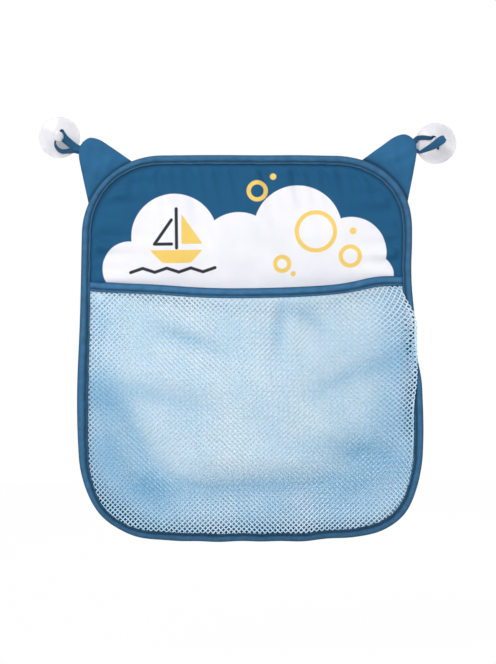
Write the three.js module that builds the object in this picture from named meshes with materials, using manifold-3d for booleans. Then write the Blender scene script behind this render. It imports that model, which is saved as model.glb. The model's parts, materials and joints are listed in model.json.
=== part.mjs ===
// Bath toy organizer: a bound cloth panel with two ears, an open net pocket on its front,
// and a suction cup on a ribbon loop at the tip of each ear.
// Millimetres, +Z up, front towards -Y. The origin is on the wall, midway between the cups.

import * as THREE from "three";
import { mergeVertices } from "three/addons/utils/BufferGeometryUtils.js";
import Module from "manifold-3d";

// Sewn layers
const PANEL_THICKNESS = 0.8;
const TAPE_THICKNESS = 0.6;
const NET_THICKNESS = 0.8;
const EAR_THICKNESS = 0.6;
const SEAM_GAP = 0.3; // room between sewn layers
const EAR_WALL_GAP = 2.6; // wall to the back of an ear at its thickest

// Bag outline, measured over the binding
const BAG_TOP_HALF_WIDTH = 164;
const BAG_BOTTOM_HALF_WIDTH = 176;
const BAG_HEIGHT = 386;
const TOP_CORNER_RADIUS = 80;
const BOTTOM_CORNER_RADIUS = 84;
const BINDING_WIDTH = 11;
const BINDING_ROUND = 1.4; // rounding of the binding's fold

// Net pocket
const MOUTH_DROP = 125.5; // bag's top edge down to the ends of the mouth
const MOUTH_SAG = 9;
const MOUTH_TAPE_HEIGHT = 9;
const MOUTH_BULGE = 20;
const BELLY_BULGE = 34;
const BELLY_DROP = 100; // below the mouth, where the bulge is at its fullest
const BULGE_RAMP = 150; // from the seam to where the bulge is full
const BULGE_EASE = 1.4; // over 1, so that the net leaves its seam without a crease
const BULGE_START = 3; // net lying flat inside the binding's lip

// Ears, in a frame at the middle of the bag's round corner: u along the edge, v outwards
const EAR_BASE_OUTER = 38.5; // sewn edge, from the corner's middle down the side
const EAR_BASE_INNER = 34; // the same along the top
const EAR_SEAM = 9; // ear cloth sewn behind the binding
const EAR_HEIGHT = 42;
const EAR_TIP_SHIFT = 13.5; // the tip leans up along the edge
const EAR_TIP_WIDTH = 12;
const EAR_TIP_FALL = 1.2; // the tip's inner end lies this much lower
const EAR_SHOULDER_WIDTH = 5.6; // cut corner at the tip's inner end, along u
const EAR_SHOULDER_FALL = 8.6; // the same along v
const EAR_EXIT_TURN = 35; // slope of the corner where the ribbon comes out, degrees
const EAR_EXIT_MARGIN = 1.3; // that corner's length over the ribbon's

// Ribbons
const RIBBON_WIDTH = 6.5;
const RIBBON_THICKNESS = 1;
const RIBBON_TAIL = 12; // length sewn into the ear
const TAIL_SPREAD = 1; // each tail's offset from the other's centre line
const RIBBON_GATHER = 1.5; // thickness where it is gathered in the cup's hole
const HOLE_CLEARANCE = 0.35;
const NUB_CLEARANCE = 0.6; // ribbon to the side of the nub
const LOOP_REACH = 18.3; // loop's root to the nub, sideways
const LOOP_LIFT = 7.5; // the same upwards, mean of both sides
const LOOP_SKEW = 5; // the left loop reaches this much higher, the right one lower

// Suction cups
const CUP_RADIUS = 20.5;
const CUP_RIM_WIDTH = 2.4; // flat that meets the wall
const CUP_RIM_THICKNESS = 0.9;
const CUP_HOLLOW = 4.2;
const CUP_WALL = 1.8; // over the middle of the hollow, below the nub
const NUB_RADIUS = 5.2;
const NUB_FILLET = 1.2;
const NUB_CROWN = 3.6; // above the hole
const CUP_HOLE_RADIUS = 2.4;
const FLANGE_CLEARANCE = 1.75; // flange to the ribbon's edge

// Where each layer lies, from the wall to the front
const tailThickness = 2 * RIBBON_THICKNESS + SEAM_GAP;
const earMiddle = -(EAR_WALL_GAP + EAR_THICKNESS + SEAM_GAP + tailThickness / 2);
const lipBack = earMiddle - SEAM_GAP / 2 - EAR_THICKNESS - SEAM_GAP;
const panelBack = lipBack - TAPE_THICKNESS - SEAM_GAP;
const panelFront = panelBack - PANEL_THICKNESS;
const netSeam = panelFront - 2 * SEAM_GAP - TAPE_THICKNESS - NET_THICKNESS / 2;
const lipFront = netSeam - NET_THICKNESS / 2 - SEAM_GAP - TAPE_THICKNESS;
const clothInset = BINDING_ROUND + SEAM_GAP;

const wasm = await Module();
wasm.setup();

const mix = (a, b, t) => a + (b - a) * t;
const clamp = (t) => Math.min(Math.max(t, 0), 1);
const smooth = (t) => clamp(t) ** 2 * (3 - 2 * clamp(t));

function toSolid(geometry) {
  const plain = geometry.clone();
  plain.deleteAttribute("normal");
  plain.deleteAttribute("uv");
  const merged = mergeVertices(plain, 1e-4);
  return new wasm.Manifold(new wasm.Mesh({
    numProp: 3,
    vertProperties: new Float32Array(merged.attributes.position.array),
    triVerts: new Uint32Array(merged.index.array),
  }));
}

function toGeometry(solid) {
  const mesh = solid.getMesh();
  const geometry = new THREE.BufferGeometry();
  geometry.setAttribute("position", new THREE.BufferAttribute(mesh.vertProperties, 3));
  geometry.setIndex(new THREE.BufferAttribute(mesh.triVerts, 1));
  geometry.computeVertexNormals();
  return geometry;
}

function indexedGeometry(points, faces) {
  const geometry = new THREE.BufferGeometry();
  geometry.setAttribute("position", new THREE.Float32BufferAttribute(points.flat(), 3));
  geometry.setIndex(faces.flat());
  geometry.computeVertexNormals();
  return geometry;
}

// A sheet of one thickness over a grid of middle points, front towards -Y.
// grid[row][column] runs down the rows and along +X.
function sheetGeometry(grid, thickness) {
  const rows = grid.length;
  const columns = grid[0].length;
  const points = [];
  for (const side of [-0.5, 0.5]) {
    for (const row of grid) {
      for (const [x, y, z] of row) points.push([x, y + side * thickness, z]);
    }
  }
  const at = (side, row, column) => side * rows * columns + row * columns + column;
  const faces = [];
  const quad = (a, b, c, d) => faces.push([a, b, c], [a, c, d]);
  for (let r = 0; r + 1 < rows; r += 1) {
    for (let c = 0; c + 1 < columns; c += 1) {
      quad(at(0, r, c), at(0, r + 1, c), at(0, r + 1, c + 1), at(0, r, c + 1));
      quad(at(1, r, c), at(1, r, c + 1), at(1, r + 1, c + 1), at(1, r + 1, c));
    }
  }
  const right = columns - 1;
  const low = rows - 1;
  for (let c = 0; c < right; c += 1) {
    quad(at(0, 0, c), at(0, 0, c + 1), at(1, 0, c + 1), at(1, 0, c));
    quad(at(0, low, c), at(1, low, c), at(1, low, c + 1), at(0, low, c + 1));
  }
  for (let r = 0; r < low; r += 1) {
    quad(at(0, r, 0), at(1, r, 0), at(1, r + 1, 0), at(0, r + 1, 0));
    quad(at(0, r, right), at(0, r + 1, right), at(1, r + 1, right), at(1, r, right));
  }
  return indexedGeometry(points, faces);
}

// Rings of points joined one to the next. An open loft is shut at both ends by the given convex pieces.
function loftGeometry(rings, closed, capPieces) {
  const count = rings[0].length;
  const faces = [];
  const last = closed ? rings.length : rings.length - 1;
  for (let i = 0; i < last; i += 1) {
    const next = (i + 1) % rings.length;
    for (let k = 0; k < count; k += 1) {
      const m = (k + 1) % count;
      faces.push([i * count + k, i * count + m, next * count + m]);
      faces.push([i * count + k, next * count + m, next * count + k]);
    }
  }
  if (!closed) {
    const end = (rings.length - 1) * count;
    for (const piece of capPieces) {
      for (let k = 1; k + 1 < piece.length; k += 1) {
        faces.push([piece[0], piece[k + 1], piece[k]]);
        faces.push([end + piece[0], end + piece[k], end + piece[k + 1]]);
      }
    }
  }
  return indexedGeometry(rings.flat(), faces);
}

// Bag outline: top edge at height 0, sides that spread a little to the bottom, four round corners.
const bagBottom = -BAG_HEIGHT;
const sideLean = Math.atan2(BAG_BOTTOM_HALF_WIDTH - BAG_TOP_HALF_WIDTH, BAG_HEIGHT);
const sideReach = BAG_TOP_HALF_WIDTH * Math.cos(sideLean);
const topCentre = {
  x: BAG_TOP_HALF_WIDTH - TOP_CORNER_RADIUS * (1 - Math.sin(sideLean)) / Math.cos(sideLean),
  z: -TOP_CORNER_RADIUS,
};
const bottomCentre = {
  x: BAG_BOTTOM_HALF_WIDTH - BOTTOM_CORNER_RADIUS * (1 + Math.sin(sideLean)) / Math.cos(sideLean),
  z: bagBottom + BOTTOM_CORNER_RADIUS,
};

// Points round the outline at an inset, counter-clockwise from the front, from the bottom right corner.
function outlinePoints(inset) {
  const arcSteps = 12;
  const points = [];
  const arc = (mirror, centre, radius, from, to) => {
    for (let i = 0; i <= arcSteps; i += 1) {
      const angle = mix(from, to, i / arcSteps);
      const x = centre.x + (radius - inset) * Math.cos(angle);
      points.push([mirror * x, centre.z + (radius - inset) * Math.sin(angle)]);
    }
  };
  arc(1, bottomCentre, BOTTOM_CORNER_RADIUS, -Math.PI / 2, sideLean);
  arc(1, topCentre, TOP_CORNER_RADIUS, sideLean, Math.PI / 2);
  arc(-1, topCentre, TOP_CORNER_RADIUS, Math.PI / 2, sideLean);
  arc(-1, bottomCentre, BOTTOM_CORNER_RADIUS, sideLean, -Math.PI / 2);
  return points;
}

// Half width of the outline at a height below the top corners.
function halfWidthAt(z, inset) {
  if (z < bottomCentre.z) {
    const radius = BOTTOM_CORNER_RADIUS - inset;
    return bottomCentre.x + Math.sqrt(Math.max(radius ** 2 - (bottomCentre.z - z) ** 2, 0));
  }
  return (sideReach - inset - z * Math.sin(sideLean)) / Math.cos(sideLean);
}

// How far a point of the pocket lies inside the outline, up to a reach, with the lower corners eased round.
function insideDistance(x, z, reach) {
  const side = sideReach - Math.abs(x) * Math.cos(sideLean) - z * Math.sin(sideLean);
  const under = z - bagBottom;
  return reach - Math.hypot(Math.max(reach - side, 0), Math.max(reach - under, 0));
}

function panelGeometry() {
  const shape = new THREE.Shape(outlinePoints(clothInset).map(([x, z]) => new THREE.Vector2(x, z)));
  const geometry = new THREE.ExtrudeGeometry(shape, { depth: PANEL_THICKNESS, bevelEnabled: false });
  geometry.rotateX(Math.PI / 2); // the outline's up turns to +Z, its depth to -Y
  geometry.translate(0, panelBack, 0);
  return geometry;
}

// Binding: one folded section, inset and depth, carried round the outline.
function bindingGeometry() {
  const fold = BINDING_ROUND;
  const bevel = fold * (1 - Math.SQRT1_2);
  const inner = mix(TAPE_THICKNESS, fold, 1 - Math.SQRT1_2);
  const section = [
    [BINDING_WIDTH, lipFront],
    [fold, lipFront],
    [bevel, lipFront + bevel],
    [0, lipFront + fold],
    [0, lipBack - fold],
    [bevel, lipBack - bevel],
    [fold, lipBack],
    [BINDING_WIDTH, lipBack],
    [BINDING_WIDTH, lipBack - TAPE_THICKNESS],
    [fold, lipBack - TAPE_THICKNESS],
    [inner, lipBack - inner],
    [TAPE_THICKNESS, lipBack - fold],
    [TAPE_THICKNESS, lipFront + fold],
    [inner, lipFront + inner],
    [fold, lipFront + TAPE_THICKNESS],
    [BINDING_WIDTH, lipFront + TAPE_THICKNESS],
  ];
  const tracks = section.map(([inset]) => outlinePoints(inset));
  const ringAt = (i) => section.map(([, y], k) => [tracks[k][i][0], y, tracks[k][i][1]]);
  return loftGeometry([...tracks[0].keys()].map(ringAt), true);
}

// Pocket: depth of the net in front of its seam.
const mouthEnd = -MOUTH_DROP;
function netDepth(x, z) {
  const flat = BINDING_WIDTH + BULGE_START;
  const reach = insideDistance(x, z, flat + BULGE_RAMP) - flat;
  const fullness = mix(MOUTH_BULGE, BELLY_BULGE, smooth((mouthEnd - z) / BELLY_DROP));
  return fullness * Math.sin(clamp(reach / BULGE_RAMP) * Math.PI / 2) ** BULGE_EASE;
}

// Columns of the net across the mouth, from -1 to 1.
// The second and the last but one lie at the binding's lip.
const mouthReach = halfWidthAt(mouthEnd, BINDING_WIDTH + SEAM_GAP) / halfWidthAt(mouthEnd, clothInset);
const mouthSteps = 26;
const netColumns = [-1];
for (let i = 0; i <= mouthSteps; i += 1) netColumns.push(mix(-mouthReach, mouthReach, i / mouthSteps));
netColumns.push(1);

// Rows of the net: the two edges of the mouth tape, the straight sides, the round bottom.
const sideSteps = 9;
const cornerSteps = 10;
const mouthHem = mouthEnd - MOUTH_TAPE_HEIGHT;
const netRows = [mouthEnd, mouthHem];
for (let i = 1; i <= sideSteps; i += 1) netRows.push(mix(mouthHem, bottomCentre.z, i / sideSteps));
for (let i = 1; i <= cornerSteps; i += 1) {
  const drop = Math.sin((i / cornerSteps) * Math.PI / 2);
  netRows.push(bottomCentre.z - (BOTTOM_CORNER_RADIUS - clothInset) * drop);
}

function netPoint(row, column) {
  const level = netRows[row];
  const u = netColumns[column];
  const fade = clamp((level - bottomCentre.z) / (mouthHem - bottomCentre.z));
  const x = u * halfWidthAt(level, clothInset);
  const z = level - MOUTH_SAG * (1 - u * u) * fade;
  return [x, netSeam - netDepth(x, z), z];
}

function netGeometry() {
  const rowAt = (r) => [...netColumns.keys()].map((c) => netPoint(r, c));
  return sheetGeometry([...netRows.keys()].map(rowAt), NET_THICKNESS);
}

// Mouth tape: folded over the net's top edge, on the net's own columns.
function mouthGeometry() {
  const near = NET_THICKNESS / 2 + SEAM_GAP;
  const far = near + TAPE_THICKNESS;
  const rings = [];
  for (let c = 1; c + 1 < netColumns.length; c += 1) {
    const [x, top, edge] = netPoint(0, c);
    const [hemX, low, hem] = netPoint(1, c);
    const roof = edge + SEAM_GAP + TAPE_THICKNESS;
    const eave = roof - TAPE_THICKNESS / 2;
    rings.push([
      [hemX, low - far, hem],
      [hemX, low - near, hem],
      [x, top - near, edge + SEAM_GAP],
      [x, top + near, edge + SEAM_GAP],
      [hemX, low + near, hem],
      [hemX, low + far, hem],
      [x, top + far, eave],
      [x, top + near, roof],
      [x, top - near, roof],
      [x, top - far, eave],
    ]);
  }
  return loftGeometry(rings, false, [[0, 1, 2, 9], [2, 8, 9], [2, 3, 7, 8], [3, 6, 7], [3, 4, 5, 6]]);
}

// Right-hand ear. The left side is the right one mirrored.
const diagonal = Math.SQRT1_2;
const earOrigin = {
  x: topCentre.x + TOP_CORNER_RADIUS * diagonal,
  z: topCentre.z + TOP_CORNER_RADIUS * diagonal,
};
const fromEar = (u, v) => new THREE.Vector3(
  earOrigin.x + (v - u) * diagonal, earMiddle, earOrigin.z + (v + u) * diagonal);

const tailHalfWidth = RIBBON_WIDTH / 2 + TAIL_SPREAD;
const exitTurn = THREE.MathUtils.degToRad(EAR_EXIT_TURN);
const exitLength = 2 * tailHalfWidth + EAR_EXIT_MARGIN;
const tipOuter = [EAR_TIP_SHIFT - EAR_TIP_WIDTH / 2, EAR_HEIGHT];
const tipInner = [EAR_TIP_SHIFT + EAR_TIP_WIDTH / 2, EAR_HEIGHT - EAR_TIP_FALL];
const exitLow = [
  tipOuter[0] - exitLength * Math.cos(exitTurn),
  tipOuter[1] - exitLength * Math.sin(exitTurn),
];
const shoulder = [tipInner[0] + EAR_SHOULDER_WIDTH, tipInner[1] - EAR_SHOULDER_FALL];
const exitMiddle = fromEar((tipOuter[0] + exitLow[0]) / 2, (tipOuter[1] + exitLow[1]) / 2);
const exitAlong = fromEar(...tipOuter).sub(fromEar(...exitLow)).normalize();
const exitOut = new THREE.Vector3(exitAlong.z, 0, -exitAlong.x); // out of the ear, square to the cut corner
const exitAngle = -Math.atan2(exitOut.z, exitOut.x);

// Room the sewn-in ribbon needs between the ear's layers, at a point of the ear.
function tailRoom(point) {
  const margin = 1.2;
  const fade = 9;
  const offset = point.clone().sub(exitMiddle);
  const across = Math.max(Math.abs(offset.dot(exitAlong)) - tailHalfWidth - margin, 0);
  const inwards = Math.max(-offset.dot(exitOut) - RIBBON_TAIL - margin, 0);
  return (tailThickness + SEAM_GAP) / 2 * (1 - smooth(Math.hypot(across, inwards) / fade));
}

// One layer of an ear, from its tip to its sewn base. side is -1 for the front and 1 for the back.
function earGeometry(side) {
  const rows = [1, 0.92, 0.84, 0.74, 0.62, 0.48, 0.32, 0.16, 0];
  const columns = 10;
  const cornerRow = 0.84; // rows above it run along the tip's two cut corners
  const seamRadius = TOP_CORNER_RADIUS - EAR_SEAM;
  const outerAngle = Math.asin(EAR_BASE_OUTER / seamRadius);
  const innerAngle = Math.asin(EAR_BASE_INNER / seamRadius);
  const baseAt = (s) => {
    const angle = mix(-outerAngle, innerAngle, s);
    return [seamRadius * Math.sin(angle), seamRadius * Math.cos(angle) - TOP_CORNER_RADIUS];
  };
  const edgeAt = (t, base, corner, tip) => {
    const [from, to] = t < cornerRow ? [base, corner] : [corner, tip];
    const part = t < cornerRow ? t / cornerRow : (t - cornerRow) / (1 - cornerRow);
    return [mix(from[0], to[0], part), mix(from[1], to[1], part)];
  };
  const [baseOuter, baseInner] = [baseAt(0), baseAt(1)];
  const pointAt = (t, s) => {
    const outer = edgeAt(t, baseOuter, exitLow, tipOuter);
    const inner = edgeAt(t, baseInner, shoulder, tipInner);
    const [bowU, bowV] = baseAt(s); // the base follows the bag's round corner
    const u = mix(outer[0], inner[0], s) + (bowU - mix(baseOuter[0], baseInner[0], s)) * (1 - t);
    const v = mix(outer[1], inner[1], s) + (bowV - mix(baseOuter[1], baseInner[1], s)) * (1 - t);
    const point = fromEar(u, v);
    const lift = SEAM_GAP / 2 + EAR_THICKNESS / 2 + tailRoom(point);
    return [point.x, point.y + side * lift, point.z];
  };
  const rowAt = (t) => [...Array(columns + 1).keys()].map((c) => pointAt(t, 1 - c / columns));
  return sheetGeometry(rows.map(rowAt), EAR_THICKNESS);
}

// Both tails of a ribbon, one on the other, sewn into the ear.
function tailGeometry() {
  const geometry = new THREE.BoxGeometry(RIBBON_TAIL, tailThickness, 2 * tailHalfWidth);
  geometry.rotateY(exitAngle);
  const middle = exitMiddle.clone().addScaledVector(exitOut, -RIBBON_TAIL / 2);
  geometry.translate(middle.x, middle.y, middle.z);
  return geometry;
}

// Cup heights above the wall
const flangeTop = CUP_HOLLOW + CUP_WALL;
const holeHeight = flangeTop + FLANGE_CLEARANCE + RIBBON_WIDTH / 2;
const cupHeight = holeHeight + CUP_HOLE_RADIUS + NUB_CROWN;

// Loop: its root rolls at the ear's edge, both strands run to the nub and meet inside its hole.
const rootRadius = tailThickness / 2;
const loopRoot = exitMiddle.clone().addScaledVector(exitOut, rootRadius + SEAM_GAP);
const cupsLevel = loopRoot.z + LOOP_LIFT;

function loopFrame(skew) {
  const hole = new THREE.Vector3(loopRoot.x + LOOP_REACH, -holeHeight, cupsLevel + skew);
  const along = new THREE.Vector3(hole.x - loopRoot.x, 0, hole.z - loopRoot.z);
  const length = along.length();
  along.normalize();
  const across = new THREE.Vector3(-along.z, 0, along.x);
  return { hole, along, across, length };
}

// Section of the ribbon with eased corners.
function ribbonRing(centre, width, thickness, wideways, tangent) {
  const flatways = tangent.clone().cross(wideways).normalize();
  const w = width / 2;
  const t = thickness / 2;
  const ease = t * 0.6;
  const corners = [
    [w, t - ease], [w - ease, t], [ease - w, t], [-w, t - ease],
    [-w, ease - t], [ease - w, -t], [w - ease, -t], [w, ease - t],
  ];
  const place = ([a, b]) => centre.clone().addScaledVector(wideways, a).addScaledVector(flatways, b);
  return corners.map((corner) => place(corner).toArray());
}

// Stations of one strand, from the ear's edge to the middle of the hole. It leaves the ear flat and turns
// edge-on to the wall beside the nub. over is 1 for the front strand and -1 for the back one.
function strandStations(frame, over) {
  const { hole, along, across, length } = frame;
  const front = new THREE.Vector3(0, -1, 0);
  const start = over * (RIBBON_THICKNESS + SEAM_GAP) / 2;
  const depth = loopRoot.y - hole.y;
  const beside = NUB_RADIUS + NUB_CLEARANCE + RIBBON_THICKNESS / 2;
  const pinch = 2 * Math.sqrt((CUP_HOLE_RADIUS - HOLE_CLEARANCE) ** 2 - (RIBBON_GATHER / 2) ** 2);
  const station = (forward, sideways, out, share, turn, size) => {
    const angle = THREE.MathUtils.degToRad(turn);
    const point = loopRoot.clone().addScaledVector(front, mix(start, depth, share));
    point.addScaledVector(forward, out[0]).addScaledVector(sideways, over * out[1]);
    const wideways = sideways.clone().multiplyScalar(over * Math.cos(angle));
    wideways.addScaledVector(front, Math.sin(angle));
    return { point, wideways, width: size[0], thickness: size[1] };
  };
  const flat = [RIBBON_WIDTH, RIBBON_THICKNESS];
  const narrowing = [mix(pinch, RIBBON_WIDTH, 0.7), RIBBON_THICKNESS];
  const narrow = [pinch, RIBBON_THICKNESS];
  const gathered = [pinch, RIBBON_GATHER];
  const spread = (t) => mix(TAIL_SPREAD, beside, t);
  const entry = [length - RIBBON_THICKNESS / 2, NUB_RADIUS + RIBBON_THICKNESS / 2];
  return [
    station(exitOut, exitAlong, [0, TAIL_SPREAD], 0, 0, flat),
    station(exitOut, exitAlong, [2 * rootRadius, TAIL_SPREAD], 0, 0, flat),
    station(along, across, [length * 0.32, spread(0.3)], 0.4, 22, flat),
    station(along, across, [length * 0.5, spread(0.68)], 0.78, 58, flat),
    station(along, across, [length * 0.7, beside], 0.97, 84, narrowing),
    station(along, across, [length - CUP_HOLE_RADIUS, beside], 1, 90, narrow),
    station(along, across, entry, 1, 90, narrow),
    station(along, across, [length, NUB_RADIUS - RIBBON_THICKNESS], 1, 90, gathered),
    station(along, across, [length, 0], 1, 90, gathered),
  ];
}

function loopGeometry(skew) {
  const frame = loopFrame(skew);
  const stations = [...strandStations(frame, 1), ...strandStations(frame, -1).slice(0, -1).reverse()];
  const path = new THREE.CatmullRomCurve3(stations.map((station) => station.point), false, "centripetal");
  const steps = 4; // rings between stations
  const count = stations.length - 1;
  const rings = [];
  for (let i = 0; i <= count * steps; i += 1) {
    const at = Math.min(Math.floor(i / steps), count - 1);
    const part = i / steps - at;
    const [from, to] = [stations[at], stations[at + 1]];
    const place = path.getPoint(i / (count * steps));
    const tangent = path.getTangent(i / (count * steps));
    const wideways = from.wideways.clone().lerp(to.wideways, part);
    wideways.addScaledVector(tangent, -wideways.dot(tangent)).normalize();
    const width = mix(from.width, to.width, part);
    const thickness = mix(from.thickness, to.thickness, part);
    rings.push(ribbonRing(place, width, thickness, wideways, tangent));
  }
  const root = new THREE.CylinderGeometry(rootRadius, rootRadius, 2 * tailHalfWidth, 16);
  root.rotateX(Math.PI / 2);
  root.rotateY(exitAngle);
  root.translate(loopRoot.x, loopRoot.y, loopRoot.z);
  const strap = loftGeometry(rings, false, [[0, 1, 2, 3], [0, 3, 4, 7], [4, 5, 6, 7]]);
  return toGeometry(toSolid(strap).add(toSolid(root)));
}

// Cup: turned about its own axis, then drilled across the nub, square to the loop.
function cupGeometry(skew) {
  const inner = CUP_RADIUS - CUP_RIM_WIDTH;
  const neck = NUB_RADIUS + NUB_FILLET;
  const crown = NUB_RADIUS * 0.6;
  const profile = new THREE.Path();
  profile.moveTo(0, CUP_HOLLOW);
  profile.quadraticCurveTo(inner * 0.55, CUP_HOLLOW, inner, 0);
  profile.lineTo(CUP_RADIUS, 0);
  profile.lineTo(CUP_RADIUS, CUP_RIM_THICKNESS);
  profile.quadraticCurveTo(CUP_RADIUS * 0.55, flangeTop * 0.6, neck, flangeTop);
  profile.quadraticCurveTo(NUB_RADIUS, flangeTop + NUB_FILLET * 0.3, NUB_RADIUS, flangeTop + NUB_FILLET);
  profile.lineTo(NUB_RADIUS, cupHeight - NUB_RADIUS + crown);
  profile.quadraticCurveTo(NUB_RADIUS, cupHeight, crown, cupHeight);
  profile.lineTo(0, cupHeight);
  const body = new THREE.LatheGeometry(profile.getPoints(5), 40);
  body.rotateX(Math.PI); // heights run to the front
  const { hole, across } = loopFrame(skew);
  const drill = new THREE.CylinderGeometry(CUP_HOLE_RADIUS, CUP_HOLE_RADIUS, 4 * NUB_RADIUS, 20);
  drill.rotateX(Math.PI / 2);
  drill.rotateY(Math.atan2(across.x, across.z));
  drill.translate(0, -holeHeight, 0);
  const geometry = toGeometry(toSolid(body).subtract(toSolid(drill)));
  geometry.translate(hole.x, 0, hole.z);
  return geometry;
}

const clothBlue = new THREE.MeshStandardMaterial({ color: 0x295c83, roughness: 0.8 });
const tapeBlue = new THREE.MeshStandardMaterial({ color: 0x3d6b91, roughness: 0.75 });
const netBlue = new THREE.MeshStandardMaterial({ color: 0xbed7e8, roughness: 0.8 });
const ribbonBlue = new THREE.MeshStandardMaterial({ color: 0x346f9f, roughness: 0.6 });
const clearVinyl = new THREE.MeshStandardMaterial({ color: 0xe6e8ec, roughness: 0.2 });

const organizer = new THREE.Group();
organizer.name = "bath_toy_organizer";
const hung = new THREE.Group(); // the bag's frame, brought up so that the cups' mean height is 0
hung.position.z = -cupsLevel;
organizer.add(hung);

function add(parent, name, geometry, material) {
  const mesh = new THREE.Mesh(geometry, material);
  mesh.name = name;
  parent.add(mesh);
}

add(hung, "back_panel", panelGeometry(), clothBlue);
add(hung, "edge_binding", bindingGeometry(), tapeBlue);
add(hung, "pocket_net", netGeometry(), netBlue);
add(hung, "mouth_binding", mouthGeometry(), tapeBlue);

organizer.userData.joints = [];
for (const [side, mirror, skew] of [["left", -1, LOOP_SKEW], ["right", 1, -LOOP_SKEW]]) {
  const hanger = new THREE.Group();
  hanger.scale.x = mirror;
  add(hanger, `${side}_ear_front`, earGeometry(-1), clothBlue);
  add(hanger, `${side}_ear_back`, earGeometry(1), clothBlue);
  add(hanger, `${side}_ribbon_tail`, tailGeometry(), ribbonBlue);
  add(hanger, `${side}_loop`, loopGeometry(skew), ribbonBlue);
  add(hanger, `${side}_suction_cup`, cupGeometry(skew), clearVinyl);
  hung.add(hanger);

  // Hinges turn the loop forwards and the cup's inner rim backwards.
  const { hole, across } = loopFrame(skew);
  const place = (v) => [mirror * v.x, v.y, v.z - cupsLevel];
  const turn = (v) => [-v.x, 0, -mirror * v.z];
  organizer.userData.joints.push(
    { name: `${side}_loop_swing`, at: place(loopRoot), axis: turn(exitAlong) },
    { name: `${side}_cup_tilt`, at: place(hole), axis: turn(across) },
  );
}

export default organizer;
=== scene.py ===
import json
import math
import bmesh
import bpy
import numpy as np
from mathutils import Matrix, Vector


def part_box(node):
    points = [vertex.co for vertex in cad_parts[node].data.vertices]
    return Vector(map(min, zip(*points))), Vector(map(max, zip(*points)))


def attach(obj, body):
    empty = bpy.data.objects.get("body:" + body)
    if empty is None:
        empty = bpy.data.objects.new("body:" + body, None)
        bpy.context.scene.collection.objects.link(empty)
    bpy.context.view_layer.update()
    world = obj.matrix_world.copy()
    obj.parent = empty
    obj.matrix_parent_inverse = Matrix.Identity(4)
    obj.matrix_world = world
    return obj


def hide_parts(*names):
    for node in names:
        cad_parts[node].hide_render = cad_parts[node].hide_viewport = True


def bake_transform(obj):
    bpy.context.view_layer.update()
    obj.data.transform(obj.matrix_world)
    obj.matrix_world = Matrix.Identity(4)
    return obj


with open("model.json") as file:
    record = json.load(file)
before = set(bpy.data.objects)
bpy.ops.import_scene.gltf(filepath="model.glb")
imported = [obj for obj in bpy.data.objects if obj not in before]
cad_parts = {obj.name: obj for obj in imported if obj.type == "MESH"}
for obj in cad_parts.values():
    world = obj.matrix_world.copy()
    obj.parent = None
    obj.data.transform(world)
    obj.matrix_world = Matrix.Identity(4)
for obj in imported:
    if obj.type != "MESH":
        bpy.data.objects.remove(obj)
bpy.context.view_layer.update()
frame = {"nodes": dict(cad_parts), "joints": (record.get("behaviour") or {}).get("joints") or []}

mm = 0.001  # settings are in millimetres, meshes in metres
scene = bpy.context.scene
joints = {joint["name"]: joint for joint in frame["joints"]}
sides = dict(left=-1, right=1)  # each side's mirror
forward = np.array([0.0, -1.0, 0.0])
diagonal = math.sqrt(0.5)
print("frame loaded,", len(frame["nodes"]), "nodes")


def standAt(name, data, axes, place):  # links a camera or lamp; axes are its right, up and back
    matrix = Matrix(axes).transposed().to_4x4()
    matrix.translation = np.array(place) * mm
    thing = bpy.data.objects.new(name, data)
    thing.matrix_world = matrix
    scene.collection.objects.link(thing)
    return thing


# camera: straight on, a long lens, turned a little as the bag hangs in the picture
cameraView = dict(distance=2500.0, pixelSize=1.0, imageHeight=664, roll=0.65, aimX=-1.8, aimZ=-191.5)


def makeCamera(view):
    roll = math.radians(view["roll"])
    data = bpy.data.cameras.new("front_camera")
    data.sensor_width = 36.0
    data.lens = data.sensor_width * view["distance"] / (view["pixelSize"] * view["imageHeight"])
    data.clip_end = 100.0
    right = (math.cos(roll), 0.0, -math.sin(roll))
    up = (math.sin(roll), 0.0, math.cos(roll))
    place = (view["aimX"], -view["distance"], view["aimZ"])
    scene.camera = standAt("front_camera", data, (right, up, forward), place)


makeCamera(cameraView)
scene.view_settings.view_transform = "Standard"
print("camera set")


# number helpers
def smooth(t):  # 3t² - 2t³ between 0 and 1
    t = np.clip(t, 0.0, 1.0)
    return t * t * (3.0 - 2.0 * t)


def ease(value, start, end):  # the same, from 0 at start to 1 at end, which may be the lower
    return smooth((value - start) / (end - start))


def mix(a, b, t):
    return a + (b - a) * t


def hill(t):  # exp(-t²), a soft hump of height 1
    return np.exp(-t * t)


def softSpot(x, z, spot):  # the hump round a spot, given as its x, z, reach and more
    return hill(np.hypot(x - spot[0], z - spot[1]) / spot[2])


def fallOff(distance, reach):  # exp(-distance / reach), 1 at the start
    return np.exp(-np.maximum(distance, 0.0) / reach)


def waves(t, lengths, phase):  # mean of sines of several wavelengths, between -1 and 1
    turns = [2.0 * np.pi * t / length + phase * (k + 1) for k, length in enumerate(lengths)]
    return sum(np.sin(turn) for turn in turns) / len(lengths)


def nodeBox(node):  # a node's lowest and highest corner, mm
    low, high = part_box(node)
    return np.array(low) / mm, np.array(high) / mm


def unit(v):  # vectors along the last axis at length 1
    return v / np.maximum(np.linalg.norm(v, axis=-1, keepdims=True), 1e-9)


def towardsFront(v):  # vectors turned over where they point to the wall
    return v * -np.sign(v[..., 1:2])


def upright(flat, y, mirror=1):  # (x, z) pairs and their y as points in space
    return np.stack([mirror * flat[..., 0], np.broadcast_to(y, flat.shape[:-1]), flat[..., 1]], -1)


def runAlong(points):  # distance from the first point of a line to each
    return np.concatenate([[0.0], np.cumsum(np.linalg.norm(np.diff(points, axis=0), axis=1))])


def rowsAt(at, run, rows):  # rows of values, interpolated at distances along their run
    return np.stack([np.interp(at, run, column) for column in rows.T], -1)


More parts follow.
